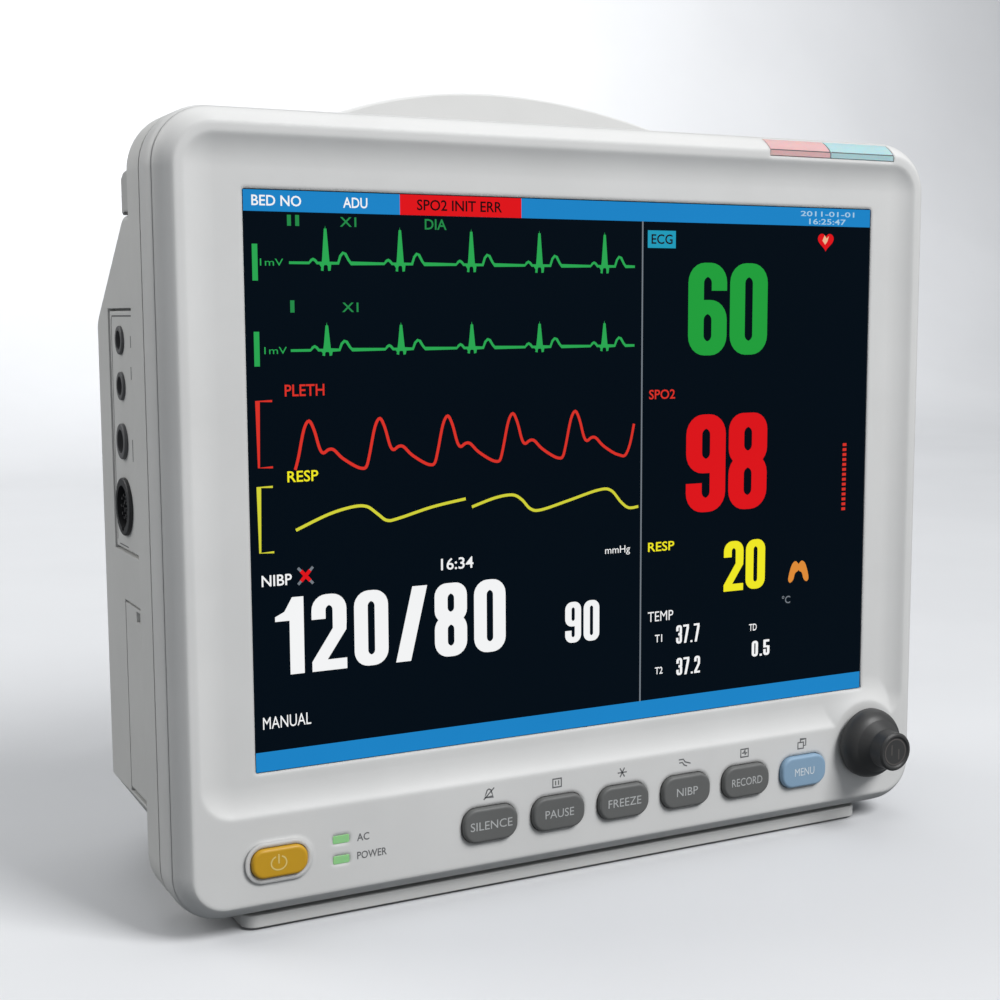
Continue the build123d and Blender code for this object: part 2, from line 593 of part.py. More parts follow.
with BuildPart() as carry_handle:
    lean = Plane(origin=(0, *HANDLE_ROOT), x_dir=(1, 0, 0), z_dir=(0, -1, 0)).rotated((-HANDLE_LEAN, 0, 0))
    with BuildSketch(lean):
        with BuildLine():
            Spline((-131, 4), (-90, 35), (-50, 54.5), (0, 62.9), (50, 54.5), (90, 35), (131, 4))
            Polyline((131, 4), (131, -2), (111, -2), (111, 3))
            Spline((111, 3), (80, 20.5), (50, 33), (0, 40), (-50, 33), (-80, 20.5), (-111, 3))
            Polyline((-111, 3), (-111, -2), (-131, -2), (-131, 4))
        make_face()
    extrude(amount=HANDLE_HALF_THICKNESS, both=True)
    arch_faces = carry_handle.faces().sort_by(SortBy.AREA)[-4:]
    flanks = arch_faces.filter_by(lambda face: abs(face.normal_at().Y) > 0.7)
    fillet(flanks.edges().filter_by(lambda edge: edge.center().Z > 250), 3.0)
    add(handle_feet())
    add(rear_outside(), mode=Mode.SUBTRACT)
    span((-HALF_WIDTH, HALF_WIDTH), (SEAM_Y, FLANGE_Y), (200, 300), mode=Mode.SUBTRACT)
    bores(seats_z([(x, HANDLE_SCREW_Y) for x in HANDLE_SCREW_X], 270, 1), 3.8, 270 - HANDLE_SEAT_Z)
    bores(HANDLE_SEATS, 2.1, 12)
write(carry_handle, "carry_handle")

with BuildPart() as handle_screws:
    screws(HANDLE_SEATS, 2.0, 22.0, 3.5, 2.8)
write(handle_screws, "handle_screws")


# ---- base plate -----------------------------------------------------------------------------

with BuildPart() as base_plate:
    with BuildSketch(Plane.XY.offset(BASE_LOW)):
        with Locations((0, (BASE_FRONT_Y + BASE_BACK_Y) / 2)):
            RectangleRounded(2 * BASE_HALF, BASE_BACK_Y - BASE_FRONT_Y, 5)
    extrude(amount=BASE_TOP - BASE_LOW)
    fillet(base_plate.faces().sort_by(Axis.Z)[-1].edges(), 0.6)
    with BuildSketch(Plane.XY.offset(BASE_TOP)) as pads:
        with Locations(*BASE_SCREWS):
            Circle(8)
        with GridLocations(TROLLEY_PITCH, TROLLEY_PITCH, 2, 2):
            Circle(6)
    extrude(pads.sketch, amount=SHELL_LOW - BASE_TOP)
    with GridLocations(TROLLEY_PITCH, TROLLEY_PITCH, 2, 2):
        Hole(TROLLEY_HOLE_RADIUS)
    bores(seats_z(BASE_SCREWS, BASE_LOW, -1), 4.0, 2.4)
    bores(seats_z(BASE_SCREWS, BASE_LOW, -1), 2.1, 10)
write(base_plate, "base_plate")

with BuildPart() as base_screws:
    screws(seats_z(BASE_SCREWS, BASE_LOW + 2.4, -1), 1.95, 8.5, 3.7, 2.2)
write(base_screws, "base_screws")

with BuildPart() as rubber_feet:
    with BuildSketch(Plane.XY) as pads:
        with Locations((0, (BASE_FRONT_Y + BASE_BACK_Y) / 2)):
            with GridLocations(226, 78, 2, 2):
                Circle(7)
    extrude(pads.sketch, amount=BASE_LOW)
    fillet(rubber_feet.faces().group_by(Axis.Z)[0].edges(), 0.4)
write(rubber_feet, "rubber_feet")


# ---- patient connector panel ----------------------------------------------------------------

with BuildPart() as connector_panel:
    span((PANEL_X, PANEL_BACK_X), PANEL_Y, PANEL_Z)
    chamfer(connector_panel.faces().sort_by(Axis.X)[0].edges(), 0.4)
    span((PANEL_BACK_X, PANEL_BACK_X + 1.5), (PANEL_Y[0] - 2, PANEL_Y[1] + 2),
         (PANEL_Z[0] - 2, PANEL_Z[1] + 2))
    rod_x(TEMP_SPOTS, 4.2, *PANEL_CUT_X, mode=Mode.SUBTRACT)
    rod_x(CUFF_SPOT, 5.0, *PANEL_CUT_X, mode=Mode.SUBTRACT)
    rod_x(PATIENT_SPOT, 8.6, *PANEL_CUT_X, mode=Mode.SUBTRACT)
write(connector_panel, "connector_panel")

with BuildPart() as temp_sockets:
    rod_x(TEMP_SPOTS, 4.75, PANEL_X - 0.9, PANEL_X)
    fillet(temp_sockets.faces().group_by(Axis.X)[0].edges(), 0.4)
    rod_x(TEMP_SPOTS, 4.1, PANEL_X, -131)
    rod_x(TEMP_SPOTS, JACK_RADIUS, PANEL_X - 0.9, -133.0, mode=Mode.SUBTRACT)
write(temp_sockets, "temp_sockets")

with BuildPart() as cuff_port:
    rod_x(CUFF_SPOT, 6.0, PANEL_X - 1.2, PANEL_X)
    fillet(cuff_port.faces().sort_by(Axis.X)[0].edges(), 0.5)
    rod_x(CUFF_SPOT, 4.9, PANEL_X, -134)
    rod_x(CUFF_SPOT, 3.0, -134, -127)
    rod_x(CUFF_SPOT, 4.0, PANEL_X - 1.2, PANEL_X + 4, mode=Mode.SUBTRACT)
    rod_x(CUFF_SPOT, 1.6, PANEL_X, -127, mode=Mode.SUBTRACT)
write(cuff_port, "cuff_port")

with BuildPart() as patient_socket:
    rod_x(PATIENT_SPOT, 9.8, PANEL_X - 1.3, PANEL_X)
    fillet(patient_socket.faces().sort_by(Axis.X)[0].edges(), 0.6)
    rod_x(PATIENT_SPOT, 8.5, PANEL_X, -128)
    rod_x(PATIENT_SPOT, 7.2, PANEL_X - 1.3, PANEL_X + 9, mode=Mode.SUBTRACT)
    # Key slot at the bottom of the ring, insulator and contact pins inside.
    span((PANEL_X - 2, PANEL_X + 7), (SOCKET_Y - 1.2, SOCKET_Y + 1.2),
         (PATIENT_SOCKET_Z - 8.2, PATIENT_SOCKET_Z - 6), mode=Mode.SUBTRACT)
    rod_x(PATIENT_SPOT, 5.6, PANEL_X + 0.6, PANEL_X + 10)
    with BuildSketch(side_plane(PANEL_X - 0.6)) as pins:
        with Locations((SOCKET_Y, PATIENT_SOCKET_Z)):
            with PolarLocations(3.9, 9):
                Circle(0.5)
            with PolarLocations(1.5, 3):
                Circle(0.5)
    extrude(pins.sketch, amount=2)
write(patient_socket, "patient_socket")


# ---- battery, its bay and its door ----------------------------------------------------------

BATTERY_BAY = ((-147.4, -10.0), (-27.4, -3.6), (38.4, 102.8))
BATTERY_BAY_WALL = 1.2

with BuildPart() as battery_bay:
    span(*BATTERY_BAY)
    span((-150, BATTERY_BAY[0][1] - BATTERY_BAY_WALL),
         (BATTERY_BAY[1][0] + BATTERY_BAY_WALL, BATTERY_BAY[1][1] - BATTERY_BAY_WALL),
         (BATTERY_BAY[2][0] + BATTERY_BAY_WALL, BATTERY_BAY[2][1] - BATTERY_BAY_WALL), mode=Mode.SUBTRACT)
    # The bay's mouth leaves room for the door's hinge pin and barrel.
    span((-150, -145.0), (-30, 0), (38, 43), mode=Mode.SUBTRACT)
write(battery_bay, "battery_bay")

with BuildPart() as battery_pack:
    span((-143.5, -14.0), (-25.5, -5.5), (40.2, 100.6))
    fillet(battery_pack.edges(), 1.5)
write(battery_pack, "battery_pack")

with BuildPart() as battery_door:
    outer_x = -BOX_HALF
    inner_x = outer_x + DOOR_THICKNESS
    barrel_radius = 1.4
    span((outer_x, inner_x), DOOR_Y, (DOOR_PIN[1], DOOR_Z[1]))
    with BuildSketch(Plane.XZ.offset(-DOOR_Y[1])) as barrel:
        with Locations(DOOR_PIN):
            Circle(barrel_radius)
    extrude(barrel.sketch, amount=DOOR_Y[1] - DOOR_Y[0])
    # Finger notch and snap tongue at the top edge.
    span((outer_x - 1, outer_x + 1.0), (-24.5, -19.5), (DOOR_Z[1] - 4.5, DOOR_Z[1] - 1.0), mode=Mode.SUBTRACT)
    span((inner_x, inner_x + 1.2), (-19, -13), (DOOR_Z[1] - 6, DOOR_Z[1] - 2.2))
    with BuildSketch(Plane.XZ.offset(-DOOR_Y[1] - 1)) as bore:
        with Locations(DOOR_PIN):
            Circle(DOOR_PIN_RADIUS + RUNNING_GAP)
    extrude(bore.sketch, amount=DOOR_Y[1] - DOOR_Y[0] + 2, mode=Mode.SUBTRACT)
write(battery_door, "battery_door")

with BuildPart() as battery_door_pin:
    with BuildSketch(Plane.XZ.offset(-DOOR_PIN_Y[1])):
        with Locations(DOOR_PIN):
            Circle(DOOR_PIN_RADIUS)
    extrude(amount=DOOR_PIN_Y[1] - DOOR_PIN_Y[0])
write(battery_door_pin, "battery_door_pin")


# ---- strip-chart recorder -------------------------------------------------------------------

MOUTH_Y = (RECORDER_Y[0] + GAP + RECORDER_WALL, RECORDER_Y[1] - GAP - RECORDER_WALL)
MOUTH_Z = (RECORDER_Z[0] + GAP + RECORDER_WALL, RECORDER_Z[1] - GAP - RECORDER_WALL)
TRUNNION_RADIUS = 0.8
RECORDER_INNER_X = 106.0
SPINDLE_LENGTH = 3.0

with BuildPart() as recorder_frame:
    span((RECORDER_INNER_X, BOX_HALF), (RECORDER_Y[0] + GAP, RECORDER_Y[1] - GAP),
         (RECORDER_Z[0] + GAP, RECORDER_Z[1] - GAP))
    span((BOX_HALF, HALF_WIDTH), (RECORDER_Y[0] - 2, RECORDER_Y[1] + 2),
         (RECORDER_Z[0] - 2, RECORDER_Z[1] + 2))
    span((RECORDER_INNER_X + RECORDER_WALL, 160), MOUTH_Y, MOUTH_Z, mode=Mode.SUBTRACT)
    rod_z([RECORDER_HINGE], TRUNNION_RADIUS + RUNNING_GAP, RECORDER_Z[0] - 1, RECORDER_Z[1] + 1,
          mode=Mode.SUBTRACT)
    # Spindle stubs inside the roll's core, on bosses from the end walls.
    rod_z([ROLL_AXIS], ROLL_CORE_RADIUS - RUNNING_GAP, MOUTH_Z[0] - 0.5, ROLL_Z[0] + SPINDLE_LENGTH)
    rod_z([ROLL_AXIS], ROLL_CORE_RADIUS - RUNNING_GAP, ROLL_Z[1] - SPINDLE_LENGTH, MOUTH_Z[1] + 0.5)
write(recorder_frame, "recorder_frame")

with BuildPart() as paper_roll:
    rod_z([ROLL_AXIS], ROLL_RADIUS, *ROLL_Z)
    rod_z([ROLL_AXIS], ROLL_CORE_RADIUS, *ROLL_Z, mode=Mode.SUBTRACT)
write(paper_roll, "paper_roll")

PLATEN_AXIS = (143.0, -14.0)
with BuildPart() as recorder_door:
    door_y = (MOUTH_Y[0] + 0.3, RECORDER_HINGE[1])
    door_z = (MOUTH_Z[0] + 0.3, MOUTH_Z[1] - 0.3)
    span((HALF_WIDTH - 2.4, HALF_WIDTH), door_y, door_z)
    rod_z([RECORDER_HINGE], 1.1, *door_z)
    rod_z([RECORDER_HINGE], TRUNNION_RADIUS, door_z[0] - 1.5, door_z[1] + 1.5)
    for cheek_z in (115.0, 173.0):
        span((140, HALF_WIDTH - 2), (-17.5, -10.5), (cheek_z, cheek_z + 2))
    rod_z([PLATEN_AXIS], 1.5 + RUNNING_GAP, 114.8, 175.2, mode=Mode.SUBTRACT)
    # Finger pull and paper slot along the front edge.
    span((HALF_WIDTH - 1.2, HALF_WIDTH + 1), (door_y[0] + 3, door_y[0] + 8), (137, 153), mode=Mode.SUBTRACT)
write(recorder_door, "recorder_door")

with BuildPart() as platen_roller:
    rod_z([PLATEN_AXIS], 4.0, 118, 172)
    rod_z([PLATEN_AXIS], 1.5, 115.2, 174.8)
write(platen_roller, "platen_roller")

with BuildPart() as print_head:
    span((139, 146), (MOUTH_Y[0], -19.0), (119, 171))
    fillet(print_head.edges().filter_by(Axis.Z), 0.6)
write(print_head, "print_head")


# ---- chassis and boards ---------------------------------------------------------------------

MAIN_BOARD_Y = (-38.0, -38.0 + BOARD_THICKNESS)
PARAMETER_BOARD_Y = (-22.0, -22.0 + BOARD_THICKNESS)
MAIN_BOARD_POSTS = [(x, z) for x in (-92, 92) for z in (72, 198)]
PARAMETER_BOARD_POSTS = [(x, z) for x in (-108, -22) for z in (124, 204)]
MANIFOLD_POSTS = [(14, 118), (70, 118)]
PUMP_CLAMP_XS = (28, 56)

with BuildPart() as chassis:
    pill((-3, 128), (244, 200), 4, *CHASSIS_Y)
    rod_y(MAIN_BOARD_POSTS, 3.0, MAIN_BOARD_Y[1], CHASSIS_Y[0])
    rod_y(PARAMETER_BOARD_POSTS, 3.0, CHASSIS_Y[1], PARAMETER_BOARD_Y[0])
    rod_y(MANIFOLD_POSTS, 3.5, CHASSIS_Y[1], -22)
    rod_y(MAIN_BOARD_POSTS, 1.3, MAIN_BOARD_Y[1], MAIN_BOARD_Y[1] + 5, mode=Mode.SUBTRACT)
    rod_y(PARAMETER_BOARD_POSTS, 1.3, PARAMETER_BOARD_Y[0] - 5, PARAMETER_BOARD_Y[0], mode=Mode.SUBTRACT)
    rod_y(CHASSIS_SCREWS, 1.7, *CHASSIS_Y, mode=Mode.SUBTRACT)
write(chassis, "chassis")

with BuildPart() as main_board:
    pill((0, 135), (196, 138), 2, *MAIN_BOARD_Y)
    rod_y(MAIN_BOARD_POSTS, 1.5, *MAIN_BOARD_Y, mode=Mode.SUBTRACT)
    for chip_x, chip_z, side in ((-20, 150, 26), (20, 160, 16), (40, 130, 16), (-55, 170, 12)):
        span((chip_x - side / 2, chip_x + side / 2), (MAIN_BOARD_Y[0] - 2, MAIN_BOARD_Y[0]),
             (chip_z - side / 2, chip_z + side / 2))
    for plug_x in (-60, -20, 20, 60):
        span((plug_x - 12, plug_x + 12), (MAIN_BOARD_Y[1], MAIN_BOARD_Y[1] + 5), (76, 82))
write(main_board, "main_board")

with BuildPart() as parameter_board:
    pill((-65, 164), (98, 90), 2, *PARAMETER_BOARD_Y)
    rod_y(PARAMETER_BOARD_POSTS, 1.5, *PARAMETER_BOARD_Y, mode=Mode.SUBTRACT)
    span((-100, -40), (PARAMETER_BOARD_Y[1], PARAMETER_BOARD_Y[1] + 7), (132, 190))
    span((-110, -104), (PARAMETER_BOARD_Y[1], PARAMETER_BOARD_Y[1] + 6), (136, 192))
write(parameter_board, "parameter_board")

with BuildPart() as internal_screws:
    screws(seats_y(LCD_POSTS, LCD_BACK_Y + 1.2, 1), 1.45, 8.0, 2.8, 1.6)
    screws(seats_y(CHASSIS_SCREWS, CHASSIS_Y[0], -1), 1.5, 7.0, 2.8, 1.8)
    screws(seats_y(MAIN_BOARD_POSTS, MAIN_BOARD_Y[0], -1), 1.25, 5.5, 2.5, 1.5)
    screws(seats_y(PARAMETER_BOARD_POSTS, PARAMETER_BOARD_Y[1], 1), 1.25, 5.5, 2.5, 1.5)
write(internal_screws, "internal_screws")


# ---- blood pressure pump, valves and air line -----------------------------------------------

PUMP_AXIS = (-8.0, 185.0)
PUMP_RADIUS = 13.5
VALVE_XS = (30, 54)
AIR_LINE_Y = -18.0
MANIFOLD_Z = 119.0

with BuildPart() as nibp_pump:
    rod_x([PUMP_AXIS], PUMP_RADIUS, 12, 72)
    chamfer(nibp_pump.edges(), 1.0)
    rod_x([(AIR_LINE_Y, PUMP_AXIS[1])], 2.2, 4, 14)
write(nibp_pump, "nibp_pump")

with BuildPart() as pump_clamps:
    for clamp_x in PUMP_CLAMP_XS:
        rod_x([PUMP_AXIS], PUMP_RADIUS + 1.8, clamp_x - 4, clamp_x + 4)
        span((clamp_x - 4, clamp_x + 4), (CHASSIS_Y[1], PUMP_AXIS[0] - PUMP_RADIUS), (178, 192))
    rod_x([PUMP_AXIS], PUMP_RADIUS, 0, 90, mode=Mode.SUBTRACT)
write(pump_clamps, "pump_clamps")

with BuildPart() as valve_manifold:
    span((10, 74), (-22, -14), (112, 126))
    for valve_x in VALVE_XS:
        span((valve_x - 8, valve_x + 8), (-14, 2), (111, 127))
    rod_x([(AIR_LINE_Y, MANIFOLD_Z)], 2.2, 2, 10)
    rod_z([(66, AIR_LINE_Y)], 2.2, 126, 134)
write(valve_manifold, "valve_manifold")

with BuildPart() as pump_tube:
    with BuildLine(front_plane(AIR_LINE_Y)) as path:
        FilletPolyline((5, PUMP_AXIS[1]), (-8, PUMP_AXIS[1]), (-8, MANIFOLD_Z), (3, MANIFOLD_Z), radius=10)
    for radius, mode in ((3.4, Mode.ADD), (2.4, Mode.SUBTRACT)):
        with BuildSketch(Plane(origin=path.line @ 0, z_dir=path.line % 0)) as ring:
            Circle(radius)
        sweep(ring.sketch, path=path.line, mode=mode)
write(pump_tube, "pump_tube")


# ---- power supply, speaker and rear connectors ----------------------------------------------

SUPPLY_POSTS = [(0.0, -20.0), (112.0, -20.0), (0.0, 18.0), (112.0, 18.0)]
SUPPLY_Z = (22.0, 23.6)

with BuildPart() as power_supply:
    with BuildSketch(Plane.XY.offset(SUPPLY_Z[0])):
        with Locations((56, -1)):
            Rectangle(122, 46)
    extrude(amount=BOARD_THICKNESS)
    rod_z(SUPPLY_POSTS, 1.7, *SUPPLY_Z, mode=Mode.SUBTRACT)
    span((34, 62), (-16, 10), (SUPPLY_Z[1], 46))
    rod_z([(78, -8), (92, -8)], 6.0, SUPPLY_Z[1], 50)
    rod_z([(16, -10), (16, 8)], 5.0, SUPPLY_Z[1], 42)
    for sink_y in (14.0, 19.0):
        span((30, 100), (sink_y, sink_y + 1.5), (SUPPLY_Z[1], 52))
write(power_supply, "power_supply")

with BuildPart() as supply_standoffs:
    rod_z(SUPPLY_POSTS, 3.5, SHELL_LOW + WALL, SUPPLY_Z[0])
    rod_z(SUPPLY_POSTS, 1.6, SUPPLY_Z[0], SUPPLY_Z[1] + 0.2)
    rod_z(SUPPLY_POSTS, 2.8, SUPPLY_Z[1], SUPPLY_Z[1] + 2)
write(supply_standoffs, "supply_standoffs")

with BuildPart() as speaker:
    rod_x([SPEAKER_SPOT], 22.0, 145.5, 147.4)
    rod_x([SPEAKER_SPOT], 18.0, 136, 145.5)
    rod_x([SPEAKER_SPOT], 13.0, 128, 136)
    with BuildSketch(side_plane(147.4)) as cone:
        with Locations(SPEAKER_SPOT):
            Circle(17)
    extrude(cone.sketch, amount=-6, taper=20, mode=Mode.SUBTRACT)
write(speaker, "speaker")

INLET_X = 92.0
FUSE_SPOTS = [(60.0, 42.0), (60.0, 58.0)]
GROUND_SPOT = (44.0, IO_MIDDLE_Z)
GROUND_PIN_RADIUS = 3.0
NETWORK_X = 22.0
VIDEO_SPOT = (2.0, IO_MIDDLE_Z)

with BuildPart() as rear_panel:
    span((IO_X[0] + 0.2, IO_X[1] - 0.2), (IO_Y - 1.5, IO_Y), (IO_Z[0] + 0.2, IO_Z[1] - 0.2))
    span((INLET_X - 14, INLET_X + 14), IO_CUT_Y, (40, 60), mode=Mode.SUBTRACT)
    rod_y(FUSE_SPOTS, 6.1, *IO_CUT_Y, mode=Mode.SUBTRACT)
    rod_y([GROUND_SPOT], 3.1, *IO_CUT_Y, mode=Mode.SUBTRACT)
    span((NETWORK_X - 8, NETWORK_X + 8), IO_CUT_Y, (43, 57), mode=Mode.SUBTRACT)
    span((VIDEO_SPOT[0] - 5, VIDEO_SPOT[0] + 5), IO_CUT_Y, (36, 64), mode=Mode.SUBTRACT)
write(rear_panel, "rear_panel")

with BuildPart() as mains_inlet:
    pill((INLET_X, IO_MIDDLE_Z), (27.8, 19.8), 2, 24, IO_Y)
    pill((INLET_X, IO_MIDDLE_Z), (31, 24), 2, IO_Y, IO_Y + 3)
    pill((INLET_X, IO_MIDDLE_Z), (24, 16.4), 3, 34, IO_Y + 5, mode=Mode.SUBTRACT)
    for blade_x, blade_z in ((-7, 48), (7, 48), (0, 52)):
        span((INLET_X + blade_x - 1, INLET_X + blade_x + 1), (34, IO_Y), (blade_z - 2, blade_z + 2))
write(mains_inlet, "mains_inlet")

with BuildPart() as fuse_holders:
    rod_y(FUSE_SPOTS, 6.0, 30, IO_Y)
    rod_y(FUSE_SPOTS, 7.0, IO_Y, IO_Y + 4)
    for fuse_x, fuse_z in FUSE_SPOTS:
        span((fuse_x - 5, fuse_x + 5), (IO_Y + 3, IO_Y + 5), (fuse_z - 0.8, fuse_z + 0.8), mode=Mode.SUBTRACT)
write(fuse_holders, "fuse_holders")

with BuildPart() as ground_terminal:
    rod_y([GROUND_SPOT], GROUND_PIN_RADIUS, IO_Y - 9, IO_Y + 11.5)
    with BuildSketch(front_plane(IO_Y + 1.5)) as collar:
        with Locations(GROUND_SPOT):
            RegularPolygon(6.4, 6)
    extrude(collar.sketch, amount=1.5)
    chamfer(ground_terminal.faces().sort_by(Axis.Y)[-1].edges(), 0.5)
write(ground_terminal, "ground_terminal")

with BuildPart() as network_port:
    span((NETWORK_X - 7.9, NETWORK_X + 7.9), (34, IO_Y + 0.8), (43.1, 56.9))
    span((NETWORK_X - 5.9, NETWORK_X + 5.9), (37, IO_Y + 2), (46.5, 53.5), mode=Mode.SUBTRACT)
    span((NETWORK_X - 3, NETWORK_X + 3), (40, IO_Y + 2), (44.2, 47), mode=Mode.SUBTRACT)
write(network_port, "network_port")

with BuildPart() as video_port:
    span((VIDEO_SPOT[0] - 4.9, VIDEO_SPOT[0] + 4.9), (36, IO_Y), (36.1, 63.9))
    span((VIDEO_SPOT[0] - 6.2, VIDEO_SPOT[0] + 6.2), (IO_Y, IO_Y + 0.8), (34.5, 65.5))
    pill(VIDEO_SPOT, (7.8, 16.4), 2.0, IO_Y, IO_Y + 6)
    pill(VIDEO_SPOT, (6.4, 15.0), 1.6, IO_Y + 1.5, IO_Y + 8, mode=Mode.SUBTRACT)
write(video_port, "video_port")


# ---- display cable --------------------------------------------------------------------------

with BuildPart() as display_cable:
    half_width = 14.0
    with BuildSketch(side_plane(-20 - half_width)):
        with BuildLine():
            Polyline((-45.0, 88.0), (-44.2, 88.0), (-44.2, 68.0), (-39.6, 60.0), (-33.0, 60.0), (-33.0, 76.0),
                     (-33.8, 76.0), (-33.8, 60.8), (-39.1, 60.8), (-43.4, 68.4), (-43.4, 89.0), (-45.0, 89.0),
                     close=True)
        make_face()
    extrude(amount=2 * half_width)
write(display_cable, "display_cable")
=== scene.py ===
import math

import bpy
from mathutils import Euler, Matrix, Vector


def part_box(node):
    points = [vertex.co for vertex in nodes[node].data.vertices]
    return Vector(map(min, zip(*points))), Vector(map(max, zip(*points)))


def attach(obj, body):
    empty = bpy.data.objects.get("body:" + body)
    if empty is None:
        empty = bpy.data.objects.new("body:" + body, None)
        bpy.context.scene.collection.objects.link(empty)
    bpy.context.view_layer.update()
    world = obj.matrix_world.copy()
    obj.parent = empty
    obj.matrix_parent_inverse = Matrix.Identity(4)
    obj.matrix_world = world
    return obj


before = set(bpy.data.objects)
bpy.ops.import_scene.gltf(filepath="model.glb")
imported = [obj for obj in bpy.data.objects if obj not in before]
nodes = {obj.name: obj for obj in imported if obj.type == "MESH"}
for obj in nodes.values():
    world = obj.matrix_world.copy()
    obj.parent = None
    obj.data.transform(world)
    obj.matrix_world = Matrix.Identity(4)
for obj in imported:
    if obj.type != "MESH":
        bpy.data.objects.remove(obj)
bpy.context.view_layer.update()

MM = 0.001


# ---- places taken from the frame ------------------------------------------------------------

window_low, window_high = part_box("display_window")
bezel_low, bezel_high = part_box("front_bezel")
SCREEN_Y = window_low.y
SCREEN_Z = (window_low.z + window_high.z) / 2
STRIP_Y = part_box("indicator_lenses")[0].y + 0.15 * MM
KEY_NODES = ["key_silence", "key_pause", "key_freeze", "key_nibp", "key_record", "key_menu"]


def middle(node):
    low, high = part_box(node)
    return (low + high) / 2


# ---- colour ---------------------------------------------------------------------------------

def tone(red, green, blue):
    """A colour given as display values from 0 to 255, in linear light."""
    linear = []
    for value in (red, green, blue):
        share = value / 255
        linear.append(share / 12.92 if share <= 0.04045 else ((share + 0.055) / 1.055) ** 2.4)
    return (*linear, 1.0)


# ---- shader building ------------------------------------------------------------------------

class Shader:
    """A material whose nodes are added and linked by name."""

    def __init__(self, name):
        self.material = bpy.data.materials.new(name)
        self.material.use_nodes = True
        self.tree = self.material.node_tree
        self.tree.nodes.clear()
        self.output = self.tree.nodes.new("ShaderNodeOutputMaterial")

    def node(self, kind, settings=None, **inputs):
        made = self.tree.nodes.new("ShaderNode" + kind)
        for key, value in (settings or {}).items():
            setattr(made, key, value)
        for key, value in inputs.items():
            self.put(made, key.replace("_", " "), value)
        return made

    def put(self, made, key, value):
        socket = made.inputs[int(key) if key.isdigit() else key]
        if isinstance(value, bpy.types.NodeSocket):
            self.tree.links.new(value, socket)
        else:
            socket.default_value = value

    def noise(self, scale, detail=3.0, stretch=(1, 1, 1), roughness=0.55):
        """Noise in object space; scale is in cells per metre."""
        place = self.node("TexCoord")
        turned = self.node("Mapping", Vector=place.outputs["Object"], Scale=stretch)
        made = self.node("TexNoise", Vector=turned.outputs[0], Scale=scale, Detail=detail,
                         Roughness=roughness)
        return made.outputs["Fac"]

    def spread(self, value, low, high, from_low=0.3, from_high=0.7):
        """Maps a noise value onto a range."""
        made = self.node("MapRange", Value=value)
        for key, number in zip(("From Min", "From Max", "To Min", "To Max"),
                               (from_low, from_high, low, high)):
            made.inputs[key].default_value = number
        return made.outputs[0]

    def mix(self, share, first, second):
        made = self.node("Mix", {"data_type": "RGBA"})
        for key, value in ((0, share), (6, first), (7, second)):
            self.put(made, str(key), value)
        return made.outputs[2]

    def bump(self, height, strength, distance, normal=None):
        made = self.node("Bump", Height=height, Strength=strength, Distance=distance)
        if normal is not None:
            self.put(made, "Normal", normal)
        return made.outputs[0]

    def finish(self, surface):
        self.tree.links.new(surface, self.output.inputs["Surface"])
        return self.material


def darker(color, share):
    return tuple(value * share for value in color[:3]) + (1.0,)


def moulded(name, color, roughness, grain=2600, grain_depth=0.06, mottle=0.05, wear=0.0, soften=0.0,
            coat=0.0, corner_dust_and_shade=0.25, painted_top_light=None):
    """Moulded plastic: fine spark grain, slight mottling, dust and painted shade in the corners, and rubbed edges.

    A painted top light colour shows where the surface points up, as a painted highlight."""
    shader = Shader(name)
    broad = shader.noise(28, 4)
    fine = shader.noise(grain, 2)
    patch = shader.noise(190, 5, roughness=0.7)
    tint = shader.mix(shader.spread(broad, 0, 1), darker(color, 1 - mottle), color)
    # Dust and painted shade: ambient occlusion darkens corners and crevices towards 0.42 of the colour, standing for
    # dust and shade together.
    corner = shader.node("AmbientOcclusion", {"samples": 6}, Distance=0.004)
    dusted_and_shaded = shader.mix(shader.spread(corner.outputs["AO"], corner_dust_and_shade, 0, 0.25, 0.95), tint,
                       darker(color, 0.42))
    normal = None
    if soften:
        normal = shader.node("Bevel", {"samples": 5}, Radius=soften).outputs[0]
    shade = dusted_and_shaded
    if wear:
        rubbed = shader.node("Math", {"operation": "MULTIPLY"})
        pointed = shader.node("NewGeometry").outputs["Pointiness"]
        shader.put(rubbed, "0", shader.spread(pointed, 0, 1, 0.52, 0.6))
        shader.put(rubbed, "1", shader.spread(patch, 0, wear, 0.45, 0.65))
        shade = shader.mix(rubbed.outputs[0], dusted_and_shaded, tuple(min(1, v * 1.6 + 0.05) for v in color[:3]) + (1,))
    # Painted highlight: faces pointing up blend to the lighter top colour, as if lit from above.
    if painted_top_light:
        facing = shader.node("SeparateXYZ", Vector=shader.node("NewGeometry").outputs["Normal"])
        shade = shader.mix(shader.spread(facing.outputs["Z"], 0, 1, 0.7, 0.9), shade, painted_top_light)
    skin = shader.node("BsdfPrincipled", Base_Color=shade,
                       Roughness=shader.spread(patch, roughness - 0.06, roughness + 0.08),
                       Normal=shader.bump(fine, grain_depth, 0.0002, normal), Coat_Weight=coat,
                       Coat_Roughness=0.25)
    return shader.finish(skin.outputs[0])


def metal(name, color, roughness, stretch=(1, 1, 14), streak=900, scratch=0.12):
    """Plated or brushed metal: long streaks, fine scratches and dull patches."""
    shader = Shader(name)
    lines = shader.noise(streak, 3, stretch)
    haze = shader.noise(60, 5, roughness=0.7)
    tint = shader.mix(shader.spread(haze, 0, 1), darker(color, 0.78), color)
    skin = shader.node("BsdfPrincipled", Base_Color=tint, Metallic=1.0,
                       Roughness=shader.spread(haze, roughness - 0.05, roughness + 0.14),
                       Normal=shader.bump(lines, scratch, 0.0001))
    return shader.finish(skin.outputs[0])


